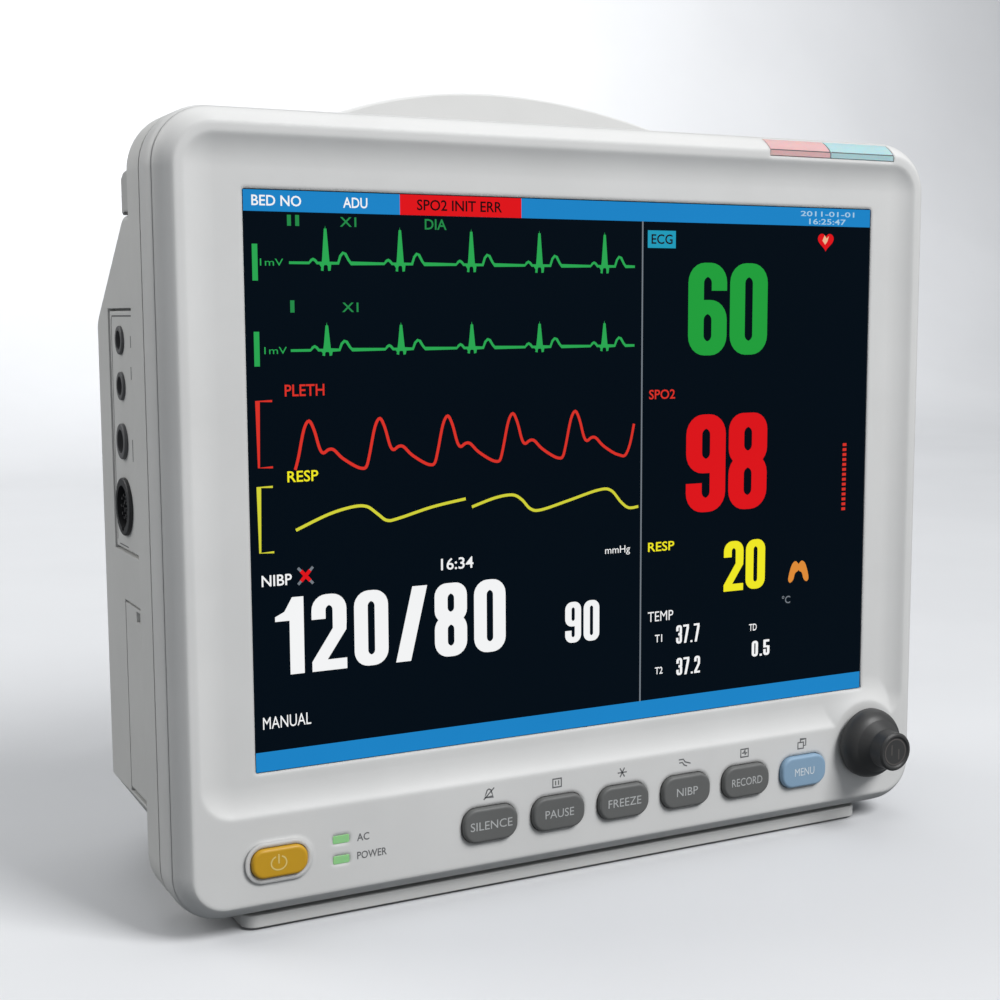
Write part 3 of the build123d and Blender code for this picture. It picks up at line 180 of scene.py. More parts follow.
def rubber(name, color, roughness=0.75):
    """Soft rubber: matt, finely pebbled, with a chalky bloom."""
    shader = Shader(name)
    bloom = shader.noise(120, 5, roughness=0.7)
    tint = shader.mix(shader.spread(bloom, 0, 0.5, 0.45, 0.75), color,
                      tuple(min(1, v * 1.5 + 0.03) for v in color[:3]) + (1,))
    skin = shader.node("BsdfPrincipled", Base_Color=tint,
                       Roughness=shader.spread(bloom, roughness - 0.05, roughness + 0.1),
                       Normal=shader.bump(shader.noise(3400, 2), 0.12, 0.0002))
    return shader.finish(skin.outputs[0])


def lens(name, color, glow=0.0):
    """Tinted diffusing plastic: milky inside, satin outside."""
    shader = Shader(name)
    cloud = shader.noise(140, 3)
    tint = shader.mix(shader.spread(cloud, 0, 1), darker(color, 0.97), color)
    skin = shader.node("BsdfPrincipled", Base_Color=tint, Roughness=shader.spread(cloud, 0.28, 0.36),
                       IOR=1.49, Subsurface_Weight=0.3, Subsurface_Scale=0.002,
                       Normal=shader.bump(shader.noise(1500, 2), 0.03, 0.0001),
                       Emission_Color=tint, Emission_Strength=glow)
    return shader.finish(skin.outputs[0])


def circuit_board(name):
    """Green solder mask over copper, with faint tracks."""
    shader = Shader(name)
    place = shader.node("TexCoord")
    tracks = shader.node("TexBrick", Vector=place.outputs["Object"], Scale=160.0, Mortar_Size=0.06)
    mask = shader.spread(tracks.outputs["Fac"], 0, 1, 0, 1)
    green = shader.mix(mask, (0.012, 0.09, 0.035, 1), (0.03, 0.17, 0.06, 1))
    skin = shader.node("BsdfPrincipled", Base_Color=green,
                       Roughness=shader.spread(shader.noise(90), 0.28, 0.42),
                       Normal=shader.bump(mask, 0.2, 0.0001))
    return shader.finish(skin.outputs[0])


def lit(name, color, strength=1.0):
    """Light from the screen: even colour through the panel's fine grid of picture elements."""
    shader = Shader(name)
    place = shader.node("TexCoord")
    split = shader.node("SeparateXYZ", Vector=place.outputs["Object"])
    cells = []
    for axis in ("X", "Z"):
        wave = shader.node("Math", {"operation": "SINE"})
        scaled = shader.node("Math", {"operation": "MULTIPLY"})
        shader.put(scaled, "0", split.outputs[axis])
        shader.put(scaled, "1", 2 * math.pi / PIXEL_PITCH)
        shader.put(wave, "0", scaled.outputs[0])
        cells.append(shader.spread(wave.outputs[0], 0.94, 1.0, -1, 1))
    grid = shader.node("Math", {"operation": "MULTIPLY"})
    shader.put(grid, "0", cells[0])
    shader.put(grid, "1", cells[1])
    level = shader.node("Math", {"operation": "MULTIPLY"})
    shader.put(level, "0", grid.outputs[0])
    shader.put(level, "1", shader.spread(shader.noise(9), 0.97 * strength, 1.03 * strength))
    skin = shader.node("BsdfPrincipled", Base_Color=(0, 0, 0, 1), Roughness=0.3,
                       Specular_IOR_Level=0.05, Emission_Color=color,
                       Emission_Strength=level.outputs[0])
    return shader.finish(skin.outputs[0])


PIXEL_PITCH = 0.246 / 1024

CASE = moulded("case_light", (0.80, 0.80, 0.79, 1), 0.42, soften=0.0022)
CASE_BACK = moulded("case_back", (0.78, 0.78, 0.765, 1), 0.5, grain=1500, grain_depth=0.14, soften=0.0005)
# Painted shade and highlight: the handle is the case plastic in a darker, shaded colour, lightened on the faces that
# point up.
HANDLE_SHADED = moulded("case_handle_painted_shade_and_highlight", (0.62, 0.62, 0.61, 1), 0.46, soften=0.0012, painted_top_light=(0.86, 0.86, 0.85, 1))
PANEL = moulded("panel_grey", (0.72, 0.72, 0.71, 1), 0.5, soften=0.0004)
KEY_GREY = moulded("key_grey", tone(108, 109, 108), 0.5, mottle=0.1, soften=0.0005, wear=0.35)
KEY_BLUE = moulded("key_blue", tone(146, 178, 205), 0.48, mottle=0.08, soften=0.0005)
KEY_AMBER = moulded("key_amber", tone(222, 170, 32), 0.42, mottle=0.1, soften=0.0005)
KNOB = moulded("knob_grey", tone(62, 62, 62), 0.44, grain=2200, grain_depth=0.1, soften=0.0004, wear=0.3)
DARK = moulded("dark_plastic", (0.03, 0.031, 0.033, 1), 0.5)
SOCKET_GREY = moulded("socket_grey", tone(104, 104, 106), 0.5, soften=0.0003)
BATTERY = moulded("battery_sleeve", (0.03, 0.08, 0.26, 1), 0.35, mottle=0.15)
PAPER = moulded("thermal_paper", (0.86, 0.86, 0.83, 1), 0.7, grain=1200, grain_depth=0.2)
MODULE = moulded("display_module", (0.10, 0.10, 0.11, 1), 0.5)
INK_LIGHT = moulded("ink_light", tone(196, 198, 198), 0.6)
INK_MENU = moulded("ink_menu", tone(232, 240, 246), 0.6)
DARK_INK_AND_SHADE = moulded("dark_ink_and_painted_shade", tone(112, 113, 115), 0.6)
INK_AMBER = moulded("ink_amber", tone(240, 214, 130), 0.6)
LENS_RED = lens("lens_red", tone(228, 184, 184), 0.03)
LENS_CYAN = lens("lens_cyan", tone(180, 216, 220), 0.03)
LENS_GREEN = lens("lens_green", tone(148, 208, 142), 0.16)
STEEL = metal("sheet_steel", (0.62, 0.63, 0.64, 1), 0.34)
ALUMINIUM = metal("aluminium", (0.78, 0.78, 0.79, 1), 0.3, stretch=(14, 1, 1))
NICKEL = metal("plated_brass", (0.74, 0.70, 0.60, 1), 0.24, streak=500)
SCREW = metal("screw_steel", (0.56, 0.56, 0.57, 1), 0.26, streak=1400)
RUBBER = rubber("rubber_black", (0.03, 0.03, 0.03, 1))
TUBE = rubber("tube_silicone", (0.55, 0.56, 0.55, 1), 0.45)
BOARD = circuit_board("circuit_board")
SCREEN_DARK = lit("screen_dark", tone(3, 13, 23))

LOOKS = {
    "front_bezel": CASE, "rear_housing": CASE_BACK, "carry_handle": HANDLE_SHADED, "base_plate": CASE_BACK,
    "recorder_door": CASE_BACK, "connector_panel": CASE_BACK, "battery_door": CASE_BACK,
    "recorder_frame": PANEL,
    "alarm_lens_red": LENS_RED, "alarm_lens_cyan": LENS_CYAN, "indicator_lenses": LENS_GREEN,
    "alarm_led_board": BOARD, "key_board": BOARD, "main_board": BOARD, "parameter_board": BOARD,
    "power_supply": BOARD, "display_window": SCREEN_DARK, "window_gasket": RUBBER, "lcd_panel": MODULE,
    "lcd_bracket": STEEL, "chassis": STEEL, "pump_clamps": STEEL, "key_menu": KEY_BLUE,
    "power_key": KEY_AMBER, "knob": KNOB, "encoder_shaft": ALUMINIUM, "encoder_nut": NICKEL,
    "case_screws": SCREW, "handle_screws": SCREW, "base_screws": SCREW, "internal_screws": SCREW,
    "supply_standoffs": SCREW, "battery_door_pin": SCREW, "rubber_feet": RUBBER,
    "temp_sockets": SOCKET_GREY, "cuff_port": SOCKET_GREY, "battery_pack": BATTERY, "paper_roll": PAPER,
    "platen_roller": RUBBER, "print_head": ALUMINIUM, "nibp_pump": ALUMINIUM, "pump_tube": TUBE,
    "rear_panel": ALUMINIUM, "ground_terminal": NICKEL, "network_port": ALUMINIUM,
    "video_port": ALUMINIUM,
}

for node_name, node in nodes.items():
    fallback = KEY_GREY if node_name.startswith("key_") else DARK
    node.data.materials.clear()
    node.data.materials.append(LOOKS.get(node_name, fallback))


# ---- flat pieces ----------------------------------------------------------------------------

def piece(name, points, faces, material, body):
    """A mesh piece in the row frame that moves with a CAD body."""
    mesh = bpy.data.meshes.new(name)
    mesh.from_pydata(points, [], faces)
    mesh.update()
    made = bpy.data.objects.new(name, mesh)
    bpy.context.scene.collection.objects.link(made)
    mesh.materials.append(material)
    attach(made, body)
    return made


def outlines(name, loops, y, material, body="case"):
    """Fills closed (x, z) outlines at depth y; an outline inside another is a hole."""
    curve = bpy.data.curves.new(name, "CURVE")
    curve.dimensions = "2D"
    curve.fill_mode = "BOTH"
    for loop in loops:
        spline = curve.splines.new("POLY")
        spline.points.add(len(loop) - 1)
        for point, (x, z) in zip(spline.points, loop):
            point.co = (x, z, 0, 1)
        spline.use_cyclic_u = True
    return flat_mesh(name, curve, None, y, material, body)


def flat_mesh(name, curve, target, y, material, body):
    """Turns a filled curve into an upright mesh; target is the (x, z) box that it has to fill."""
    holder = bpy.data.objects.new(name + "_curve", curve)
    bpy.context.scene.collection.objects.link(holder)
    depsgraph = bpy.context.evaluated_depsgraph_get()
    mesh = bpy.data.meshes.new_from_object(holder.evaluated_get(depsgraph))
    bpy.data.objects.remove(holder)
    flat = [vertex.co.copy() for vertex in mesh.vertices]
    if target:
        left, right, low, high = target
        xs = [point.x for point in flat]
        zs = [point.y for point in flat]
        grow_x = (right - left) / (max(xs) - min(xs))
        grow_z = (high - low) / (max(zs) - min(zs))
        flat = [Vector((left + (p.x - min(xs)) * grow_x, low + (p.y - min(zs)) * grow_z, 0)) for p in flat]
    faces = [tuple(polygon.vertices) for polygon in mesh.polygons]
    bpy.data.meshes.remove(mesh)
    return piece(name, [(p.x, y, p.y) for p in flat], faces, material, body)


def words(name, text, target, y, material, body="case", bold=0.012):
    """Plain lettering stretched to fill the (left, right, low, high) box."""
    curve = bpy.data.curves.new(name, "FONT")
    curve.body = text
    curve.offset = bold
    curve.resolution_u = 3
    return flat_mesh(name, curve, target, y, material, body)


def ribbon(name, path, width, depth, material, body="case", closed=False, place=None):
    """A flat line of even width along an (x, z) path, with mitred corners."""
    place = place or (lambda x, z: (x, depth, z))
    count = len(path)
    points = []
    for index, (x, z) in enumerate(path):
        before = path[index - 1] if (index or closed) else path[index]
        after = path[(index + 1) % count] if (index < count - 1 or closed) else path[index]
        along = Vector((after[0] - before[0], after[1] - before[1])).normalized()
        half = width / 2
        if 0 < index < count - 1 or closed:
            first = Vector((x - before[0], z - before[1])).normalized()
            half /= max(0.45, abs(first.dot(along)))
        across = Vector((-along.y, along.x)) * half
        points += [place(x - across.x, z - across.y), place(x + across.x, z + across.y)]
    faces = []
    for index in range(count if closed else count - 1):
        a = 2 * index
        b = 2 * ((index + 1) % count)
        faces.append((a, b, b + 1, a + 1))
    return piece(name, points, faces, material, body)


def rounded(left, right, low, high, radius, steps=6):
    """The outline of a rounded rectangle."""
    corners = ((right - radius, high - radius, 0), (left + radius, high - radius, 90),
               (left + radius, low + radius, 180), (right - radius, low + radius, 270))
    loop = []
    for x, z, start in corners:
        for step in range(steps + 1):
            angle = math.radians(start + 90 * step / steps)
            loop.append((x + radius * math.cos(angle), z + radius * math.sin(angle)))
    return loop


def circle(x, z, radius, steps=40):
    return [(x + radius * math.cos(2 * math.pi * s / steps), z + radius * math.sin(2 * math.pi * s / steps))
            for s in range(steps)]


# ---- screen contents ------------------------------------------------------------------------

LAYER = 0.00004
FIELD_Y = SCREEN_Y - LAYER
PRINT_Y = SCREEN_Y - 2 * LAYER
TOP_PRINT_Y = SCREEN_Y - 3 * LAYER
GREEN = lit("light_green", tone(44, 170, 84))
GREEN_TEXT = lit("light_green_text", tone(38, 140, 74))
GREEN_NUMBER = lit("light_green_number", tone(35, 162, 62))
RED = lit("light_red", tone(226, 22, 28))
RED_WAVE = lit("light_red_wave", tone(222, 52, 42))
YELLOW = lit("light_yellow", tone(246, 238, 38))
YELLOW_WAVE = lit("light_yellow_wave", tone(214, 214, 60))
WHITE = lit("light_white", tone(250, 251, 252))
GREY = lit("light_grey", tone(118, 126, 134))
BLUE = lit("light_blue", tone(30, 134, 202))
PALE_BLUE = lit("light_pale_blue", tone(168, 206, 232))
CYAN = lit("light_cyan", tone(36, 158, 190))
ORANGE = lit("light_orange", tone(226, 142, 58))
PALE_ORANGE = lit("light_pale_orange", tone(240, 188, 150))
INK = lit("light_ink", tone(30, 10, 14))


def on_screen(box):
    """A box in millimetres from the screen's centre, as a box in the row frame."""
    left, right, low, high = box
    return (left * MM, right * MM, SCREEN_Z + low * MM, SCREEN_Z + high * MM)


def screen_path(points):
    return [(x * MM, SCREEN_Z + z * MM) for x, z in points]


def panel(name, box, material, y=FIELD_Y):
    left, right, low, high = on_screen(box)
    corners = [(left, y, low), (right, y, low), (right, y, high), (left, y, high)]
    return piece(name, corners, [(0, 1, 2, 3)], material, "case")


def label(name, text, box, material, y=PRINT_Y):
    """Lettering on the screen; an M would close up if its strokes were widened."""
    return words("screen_" + name, text, on_screen(box), y, material, bold=0.0 if "M" in text.upper() else 0.012)


def trace(name, points, width, material, y=PRINT_Y):
    return ribbon("screen_" + name, screen_path(points), width * MM, y, material)


HALF_W = 123.0
HALF_H = 92.25
BAR_HIGH = 85.7
BAR_LOW = -85.8
DIVIDER_X = 21.8

panel("screen_top_bar", (-HALF_W, HALF_W, BAR_HIGH, HALF_H), BLUE)
panel("screen_bottom_bar", (-HALF_W, HALF_W, -HALF_H, BAR_LOW), BLUE)
panel("screen_alarm_block", (-70.5, -26.2, BAR_HIGH, HALF_H), RED, PRINT_Y)
panel("screen_divider", (DIVIDER_X - 0.3, DIVIDER_X + 0.3, BAR_LOW, BAR_HIGH), GREY)
panel("screen_lead_box", (23.9, 35.6, 76.6, 82.7), CYAN)

LABELS = [
    ("bed", "BED NO", (-120.3, -104.1, 87.4, 90.7), WHITE),
    ("patient_type", "ADU", (-90.1, -81.8, 87.4, 90.7), WHITE),
    ("alarm_text", "SPO2 INIT ERR", (-64.5, -33.5, 87.3, 90.8), INK),
    ("date", "2011-01-01", (90.3, 115.4, 89.2, 91.1), PALE_BLUE),
    ("time", "16:25:47", (94.3, 111.4, 86.3, 88.4), PALE_BLUE),
    ("lead_two", "II", (-108.9, -104.9, 81.4, 84.8), GREEN_TEXT),
    ("gain_one", "X1", (-91.3, -85.7, 81.5, 84.5), GREEN_TEXT),
    ("mode", "DIA", (-61.8, -54.0, 81.2, 84.6), GREEN_TEXT),
    ("lead_one", "I", (-108.4, -107.0, 54.5, 58.3), GREEN_TEXT),
    ("gain_two", "X1", (-91.0, -85.4, 54.6, 57.6), GREEN_TEXT),
    ("millivolt_one", "1mV", (-118.0, -110.4, 69.0, 71.2), GREEN),
    ("millivolt_two", "1mV", (-117.2, -109.8, 41.6, 43.8), GREEN),
    ("pleth", "PLETH", (-110.8, -97.5, 28.2, 31.9), RED_WAVE),
    ("resp_wave_name", "RESP", (-110.5, -100.1, 0.9, 4.5), YELLOW),
    ("pressure_name", "NIBP", (-119.8, -109.7, -32.0, -28.4), WHITE),
    ("pressure_time", "16:34", (-57.1, -45.0, -31.6, -27.6), WHITE),
    ("pressure_unit", "mmHg", (6.9, 17.2, -31.6, -28.2), WHITE),
    ("pressure_mode", "MANUAL", (-120.4, -104.1, -78.4, -74.4), WHITE),
    ("lead_box_text", "ECG", (25.4, 34.2, 78.0, 81.4), INK),
    ("oxygen_name", "SPO2", (24.8, 35.8, 23.4, 26.8), RED_WAVE),
    ("breath_name", "RESP", (24.8, 36.0, -31.4, -28.0), YELLOW),
    ("temperature_name", "TEMP", (24.9, 35.8, -57.0, -53.4), WHITE),
    ("celsius", "°C", (84.7, 88.6, -55.6, -52.6), GREY),
    ("first_probe", "T1", (28.0, 31.1, -64.8, -62.0), WHITE),
    ("second_probe", "T2", (28.1, 31.4, -76.6, -74.0), WHITE),
    ("probe_difference", "TD", (69.7, 73.2, -64.6, -62.0), WHITE),
]
for entry_name, entry_text, entry_box, entry_material in LABELS:
    label(entry_name, entry_text, entry_box, entry_material, TOP_PRINT_Y)


# Heavy condensed numerals on a cell one unit wide; tall is the cell's height.

STEM = 0.40
CAP = 0.30


def ring(low, high, radius=0.42):
    """A closed loop of heavy stroke, as an outline and its slot."""
    slot = (STEM, 1 - STEM, low + CAP, high - CAP)
    return [rounded(0, 1, low, high, radius), rounded(*slot, min(0.13, (slot[3] - slot[2]) / 2 - 0.01))]


def arch(low, high, right_low):
    """A round-topped hook: the left stem reaches down to low, the right one to right_low."""
    outer = [point for point in rounded(0, 1, low - 1, high, 0.42) if point[1] > low]
    inner = [point for point in rounded(STEM, 1 - STEM, low - 1, high - CAP, 0.13) if point[1] > low]
    right_side = [(1, right_low)] + outer + [(0, low), (STEM, low)]
    return [right_side + inner[::-1] + [(1 - STEM, right_low)]]


def turned(shapes, tall):
    """The shapes turned half round within the cell."""
    return [[[(1 - x, tall - z) for x, z in loop] for loop in shape] for shape in shapes]


def numeral(mark, tall):
    """Outline groups for one numeral; each group is filled on its own."""
    waist = 0.53 * tall
    shapes = {
        "0": [ring(0, tall)],
        "1": [[[(0.34, 0), (0.34, 0.70 * tall), (-0.06, 0.70 * tall), (-0.06, 0.76 * tall), (0.2, 0.82 * tall),
                (0.42, tall), (0.74, tall), (0.74, 0)]]],
        "6": [arch(0.4 * tall, tall, 0.70 * tall), ring(0, 0.60 * tall)],
        "8": [ring(waist - 0.14, tall, 0.36), ring(0, waist + 0.1)],
        "/": [[[(0, 0), (0.45, 0), (0.96, tall), (0.51, tall)]]],
        "2": [arch(0.68 * tall, tall, 0.60 * tall),
              [[(0, 0), (1, 0), (1, CAP), (0.44, CAP), (0.99, 0.52 * tall), (1, 0.64 * tall),
                (1 - STEM, 0.64 * tall), (0.6, 0.55 * tall), (0, 0.13 * tall)]]],
        "7": [[[(0.16, 0), (0.55, 0), (1, 0.78 * tall), (1, tall), (0, tall), (0, tall - CAP),
                (0.62, tall - CAP)]]],
        ".": [[[(0.2, 0), (0.55, 0), (0.55, 0.28), (0.2, 0.28)]]],
    }
    shapes["9"] = turned(shapes["6"], tall)
    hook = arch(0.68 * tall, tall, 0.52 * tall)
    shapes["3"] = [hook, turned([[[(1 - x, z) for x, z in loop] for loop in hook]], tall)[0],
                   [[(0.36, 0.44 * tall), (0.9, 0.44 * tall), (0.9, 0.58 * tall), (0.36, 0.58 * tall)]]]
    shapes["5"] = [turned([[[(1 - x, z) for x, z in loop] for loop in arch(0.6 * tall, tall, 0.4 * tall)]],
                          tall)[0],
                   [[(0, 0.5 * tall), (STEM, 0.5 * tall), (STEM, tall - CAP), (0.95, tall - CAP),
                     (0.95, tall), (0, tall)]],
                   [[(STEM, 0.5 * tall), (0.8, 0.5 * tall), (0.8, 0.62 * tall), (STEM, 0.62 * tall)]]]
    return shapes[mark]


def number(name, marks, box, material, gaps=0.14):
    """Numerals that fill the box: narrow marks take less room."""
    left, right, low, high = on_screen(box)
    widths = [{".": 0.45, "1": 0.8, "/": 0.96}.get(mark, 1.0) for mark in marks]
    unit = (right - left) / (sum(widths) + gaps * (len(marks) - 1))
    tall = (high - low) / unit
    x = left
    for index, (mark, width) in enumerate(zip(marks, widths)):
        start = x + (0.06 * unit if mark == "1" else 0) - (0.12 * unit if mark == "." else 0)
        for part, shape in enumerate(numeral(mark, tall)):
            loops = [[(start + px * unit, low + pz * unit) for px, pz in loop] for loop in shape]
            outlines(f"screen_{name}_{index}_{part}", loops, PRINT_Y - part * LAYER / 8, material)
        x += (width + gaps) * unit


number("heart_rate", "60", (41.1, 75.9, 38.6, 71.7), GREEN_NUMBER, 0.08)
number("oxygen", "98", (40.8, 76.7, -18.4, 17.3), RED, 0.08)
number("breaths", "20", (57.9, 76.6, -48.7, -30.0), YELLOW, 0.12)
number("pressure", "120/80", (-115.6, -32.8, -61.3, -36.1), WHITE, 0.22)
number("mean_pressure", "90", (-9.3, 4.6, -61.4, -46.8), WHITE, 0.16)
number("probe_one", "37.7", (37.2, 47.4, -66.2, -59.4), WHITE, 0.2)
number("probe_two", "37.2", (37.4, 47.8, -78.0, -71.6), WHITE, 0.2)
number("difference", "0.5", (71.1, 79.3, -74.6, -68.6), WHITE, 0.2)


# Traces: each beat is a sum of simple bumps along the sweep.

BEAT = 25.65
FIRST_BEAT = -96.3
SWEEP = (-108.5, 18.6)


def heart_trace(baseline, peak, dip, wave):
    """An electrocardiogram: small bump, sharp spike between two dips, rounded wave."""
    points = [(SWEEP[0], baseline)]
    for beat in range(5):
        x = FIRST_BEAT + beat * BEAT
        points += [(x - 5.6, baseline), (x - 4.8, baseline + 0.9), (x - 4.2, baseline + 1.2),
                   (x - 3.6, baseline + 0.9), (x - 2.8, baseline), (x - 1.5, baseline),
                   (x - 1.2, baseline - dip), (x, baseline + peak), (x + 1.2, baseline - dip),
                   (x + 1.5, baseline), (x + 4.2, baseline), (x + 5.0, baseline + 0.7 * wave),
                   (x + 5.9, baseline + wave), (x + 6.7, baseline + 0.9 * wave),
                   (x + 7.8, baseline + 0.3 * wave), (x + 8.6, baseline)]
    points.append((SWEEP[1], baseline))
    return [point for point in points if point[0] <= SWEEP[1]]


def filled_spikes(name, baseline, peak, dip):
    """The narrow spikes read as solid wedges on the screen."""
    for beat in range(5):
        x = FIRST_BEAT + beat * BEAT
        loop = screen_path([(x - 1.5, baseline - dip), (x - 0.4, baseline - 0.6), (x + 0.4, baseline - 0.6),
                            (x + 1.5, baseline - dip), (x + 0.45, baseline + peak), (x - 0.45, baseline + peak)])
        outlines(f"screen_{name}_spike_{beat}", [loop], TOP_PRINT_Y, GREEN)


def smooth(points, steps=8):
    """A rounded line through the points."""
    line = []
    count = len(points)
    for index in range(count - 1):
        p0 = points[max(index - 1, 0)]
        p1, p2 = points[index], points[index + 1]
        p3 = points[min(index + 2, count - 1)]
        for step in range(steps):
            t = step / steps
            line.append(tuple(
                0.5 * (2 * b + (c - a) * t + (2 * a - 5 * b + 4 * c - d) * t * t
                       + (3 * b - 3 * c + d - a) * t ** 3)
                for a, b, c, d in zip(p0, p1, p2, p3)))
    return line + [points[-1]]


trace("heart_one", heart_trace(70.0, 10.8, 2.4, 3.3), 0.85, GREEN)
filled_spikes("heart_one", 70.0, 10.8, 2.4)
trace("heart_two", heart_trace(42.6, 7.8, 1.8, 2.8), 0.85, GREEN)
filled_spikes("heart_two", 42.6, 7.8, 1.8)
panel("screen_gain_bar_one", (-120.5, -118.7, 64.4, 75.7), GREEN)
panel("screen_gain_bar_two", (-120.5, -118.7, 37.8, 48.6), GREEN)

PULSE = 24.4
pulse = []
for pulse_index in range(5):
    start_x = -107.8 + pulse_index * PULSE
    pulse += [(start_x, 4.8), (start_x + 1.2, 9.0), (start_x + 3.1, 17.4), (start_x + 4.9, 20.2),
              (start_x + 6.6, 17.2), (start_x + 8.3, 11.4), (start_x + 9.6, 9.8), (start_x + 11.4, 10.8),
              (start_x + 13.2, 10.6), (start_x + 16.0, 7.9), (start_x + 20.2, 5.2), (start_x + 22.8, 4.2)]
pulse = [point for point in pulse if point[0] < 14.5] + [(15.0, 4.0), (17.0, 8.0), (18.6, 15.0)]
trace("pulse_wave", smooth(pulse, 4), 1.0, RED_WAVE)
trace("pulse_bracket", [(-115.0, 26.9), (-119.8, 26.9), (-119.8, 6.0), (-115.2, 6.0)], 0.7, RED_WAVE)

trace("breath_wave_one", smooth([(-108.0, -14.6), (-97.0, -10.2), (-88.5, -8.2), (-83.5, -8.4), (-79.8, -11.0),
                                 (-76.4, -13.4), (-72.0, -12.9), (-60.0, -9.9), (-47.7, -7.9)]), 1.0, YELLOW_WAVE)
trace("breath_wave_two", smooth([(-45.4, -10.8), (-36.5, -8.2), (-30.0, -7.6), (-26.4, -9.4), (-23.0, -12.8),
                                 (-18.8, -13.4), (-8.0, -10.8), (4.0, -7.8), (9.2, -8.2), (13.4, -12.6),
                                 (16.6, -14.8), (20.6, -14.6)]), 1.0, YELLOW_WAVE)
trace("breath_bracket", [(-115.4, -0.2), (-120.0, -0.2), (-120.0, -21.1), (-115.4, -21.1)], 0.7, YELLOW_WAVE)

trace("no_cuff_a", [(-107.6, -32.2), (-102.5, -26.8)], 0.9, GREY, TOP_PRINT_Y)
trace("no_cuff_b", [(-107.6, -26.8), (-102.5, -32.2)], 0.9, GREY, TOP_PRINT_Y)
trace("no_cuff_c", [(-106.6, -31.2), (-103.5, -27.8)], 1.2, RED, TOP_PRINT_Y - LAYER)
trace("no_cuff_d", [(-106.6, -27.8), (-103.5, -31.2)], 1.2, RED, TOP_PRINT_Y - LAYER)

for dash in range(14):
    dash_z = -21.6 + dash * 1.9
    panel(f"screen_signal_dash_{dash}", (112.3, 114.1, dash_z, dash_z + 1.1), RED_WAVE)


def heart_shape(x, z, size):
    loop = []
    for step in range(40):
        angle = 2 * math.pi * step / 40
        loop.append((x + size * 16 * math.sin(angle) ** 3 / 32,
                     z + size * (13 * math.cos(angle) - 5 * math.cos(2 * angle) - 2 * math.cos(3 * angle)
                                 - math.cos(4 * angle)) / 32))
    return loop


outlines("screen_heart", [screen_path(heart_shape(102.2, 80.2, 7.4))], PRINT_Y, RED)
outlines("screen_heart_glint", [screen_path([(100.6, 80.4), (101.6, 82.4), (102.6, 81.2), (103.6, 82.2),
                                             (103.0, 80.2), (101.9, 78.9)])], TOP_PRINT_Y, PALE_ORANGE)
LUNG_X = 92.3
for side in (-1, 1):
    lobe = smooth([(LUNG_X + side * reach, height) for reach, height in
                   ((0.0, -40.9), (1.5, -39.7), (3.3, -41.2), (4.8, -46.2), (3.9, -47.8), (2.4, -46.7),
                    (1.6, -44.4), (0.0, -43.2), (0.0, -40.9))], 5)[:-1]
    outlines(f"screen_lung_{'left' if side < 0 else 'right'}", [screen_path(lobe)], PRINT_Y, ORANGE)


# ---- print on the case ----------------------------------------------------------------------

CASE_PRINT_Y = STRIP_Y - LAYER
KEY_WORDS = ["SILENCE", "PAUSE", "FREEZE", "NIBP", "RECORD", "MENU"]
for key_node, key_word in zip(KEY_NODES, KEY_WORDS):
    low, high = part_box(key_node)
    centre = (low + high) / 2
    half = 1.15 * MM * len(key_word)
    ink = INK_MENU if key_word == "MENU" else INK_LIGHT
    words(f"print_{key_word.lower()}", key_word, (centre.x - half, centre.x + half, centre.z - 1.5 * MM,
          centre.z + 1.5 * MM), low.y - LAYER, ink, key_node, bold=0.0)


def icon(name, x, strokes, width=0.45):
    """A small line drawing above a key, in millimetres around its own centre."""
    z = ICON_Z
    for index, (path, closed) in enumerate(strokes):
        ribbon(f"icon_{name}_{index}", [(x + px * MM, z + pz * MM) for px, pz in path], width * MM,
               CASE_PRINT_Y, DARK_INK_AND_SHADE, closed=closed)


ICON_Z = SCREEN_Z - 110.4 * MM
key_x = [middle(node_name).x for node_name in KEY_NODES]
box_mark = [(-1.7, -1.5), (1.7, -1.5), (1.7, 1.5), (-1.7, 1.5)]
icon("bell", key_x[0], [([(-1.6, -1.2), (-1.1, 0.2), (-0.7, 1.3), (0, 1.7), (0.7, 1.3), (1.1, 0.2), (1.6, -1.2)], True),
                        ([(-2.0, -1.9), (2.0, 1.9)], False)])
icon("pause", key_x[1], [(box_mark, True), ([(-0.6, -0.8), (-0.6, 0.8)], False), ([(0.6, -0.8), (0.6, 0.8)], False)])
icon("freeze", key_x[2], [([(1.9 * math.cos(a), 1.9 * math.sin(a)), (-1.9 * math.cos(a), -1.9 * math.sin(a))], False)
                          for a in (0, math.pi / 3, 2 * math.pi / 3)])
icon("cuff", key_x[3], [([(-2.6, 1.3), (-0.6, 1.3), (0.2, 0.2), (2.6, -0.6)], False),
                        ([(-2.4, 0.1), (-1.0, 0.1), (-0.2, -0.9), (1.0, -1.4)], False)])
icon("chart", key_x[4], [(box_mark, True), ([(-1.1, 0), (-0.4, 0), (0, 1.0), (0.4, -0.8), (0.8, 0), (1.2, 0)], False)])
icon("sheets", key_x[5], [([(-1.9, -1.8), (0.7, -1.8), (0.7, 0.6), (-1.9, 0.6)], True),
                          ([(-0.8, 0.6), (-0.8, 1.8), (1.8, 1.8), (1.8, -0.8), (0.7, -0.8)], False)])

power = middle("power_key")
power_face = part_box("power_key")[0].y - LAYER
POWER_X = power.x - 0.6 * MM
sweep_open = [math.radians(90 + 22 + (360 - 44) * step / 28) for step in range(29)]
ribbon("print_power_ring",
       [(POWER_X + 2.6 * MM * math.cos(a), power.z + 2.3 * MM * math.sin(a)) for a in sweep_open],
       0.5 * MM, power_face, INK_AMBER, "power_key")
ribbon("print_power_bar", [(POWER_X, power.z - 0.2 * MM), (POWER_X, power.z + 2.9 * MM)], 0.5 * MM, power_face,
       INK_AMBER, "power_key")

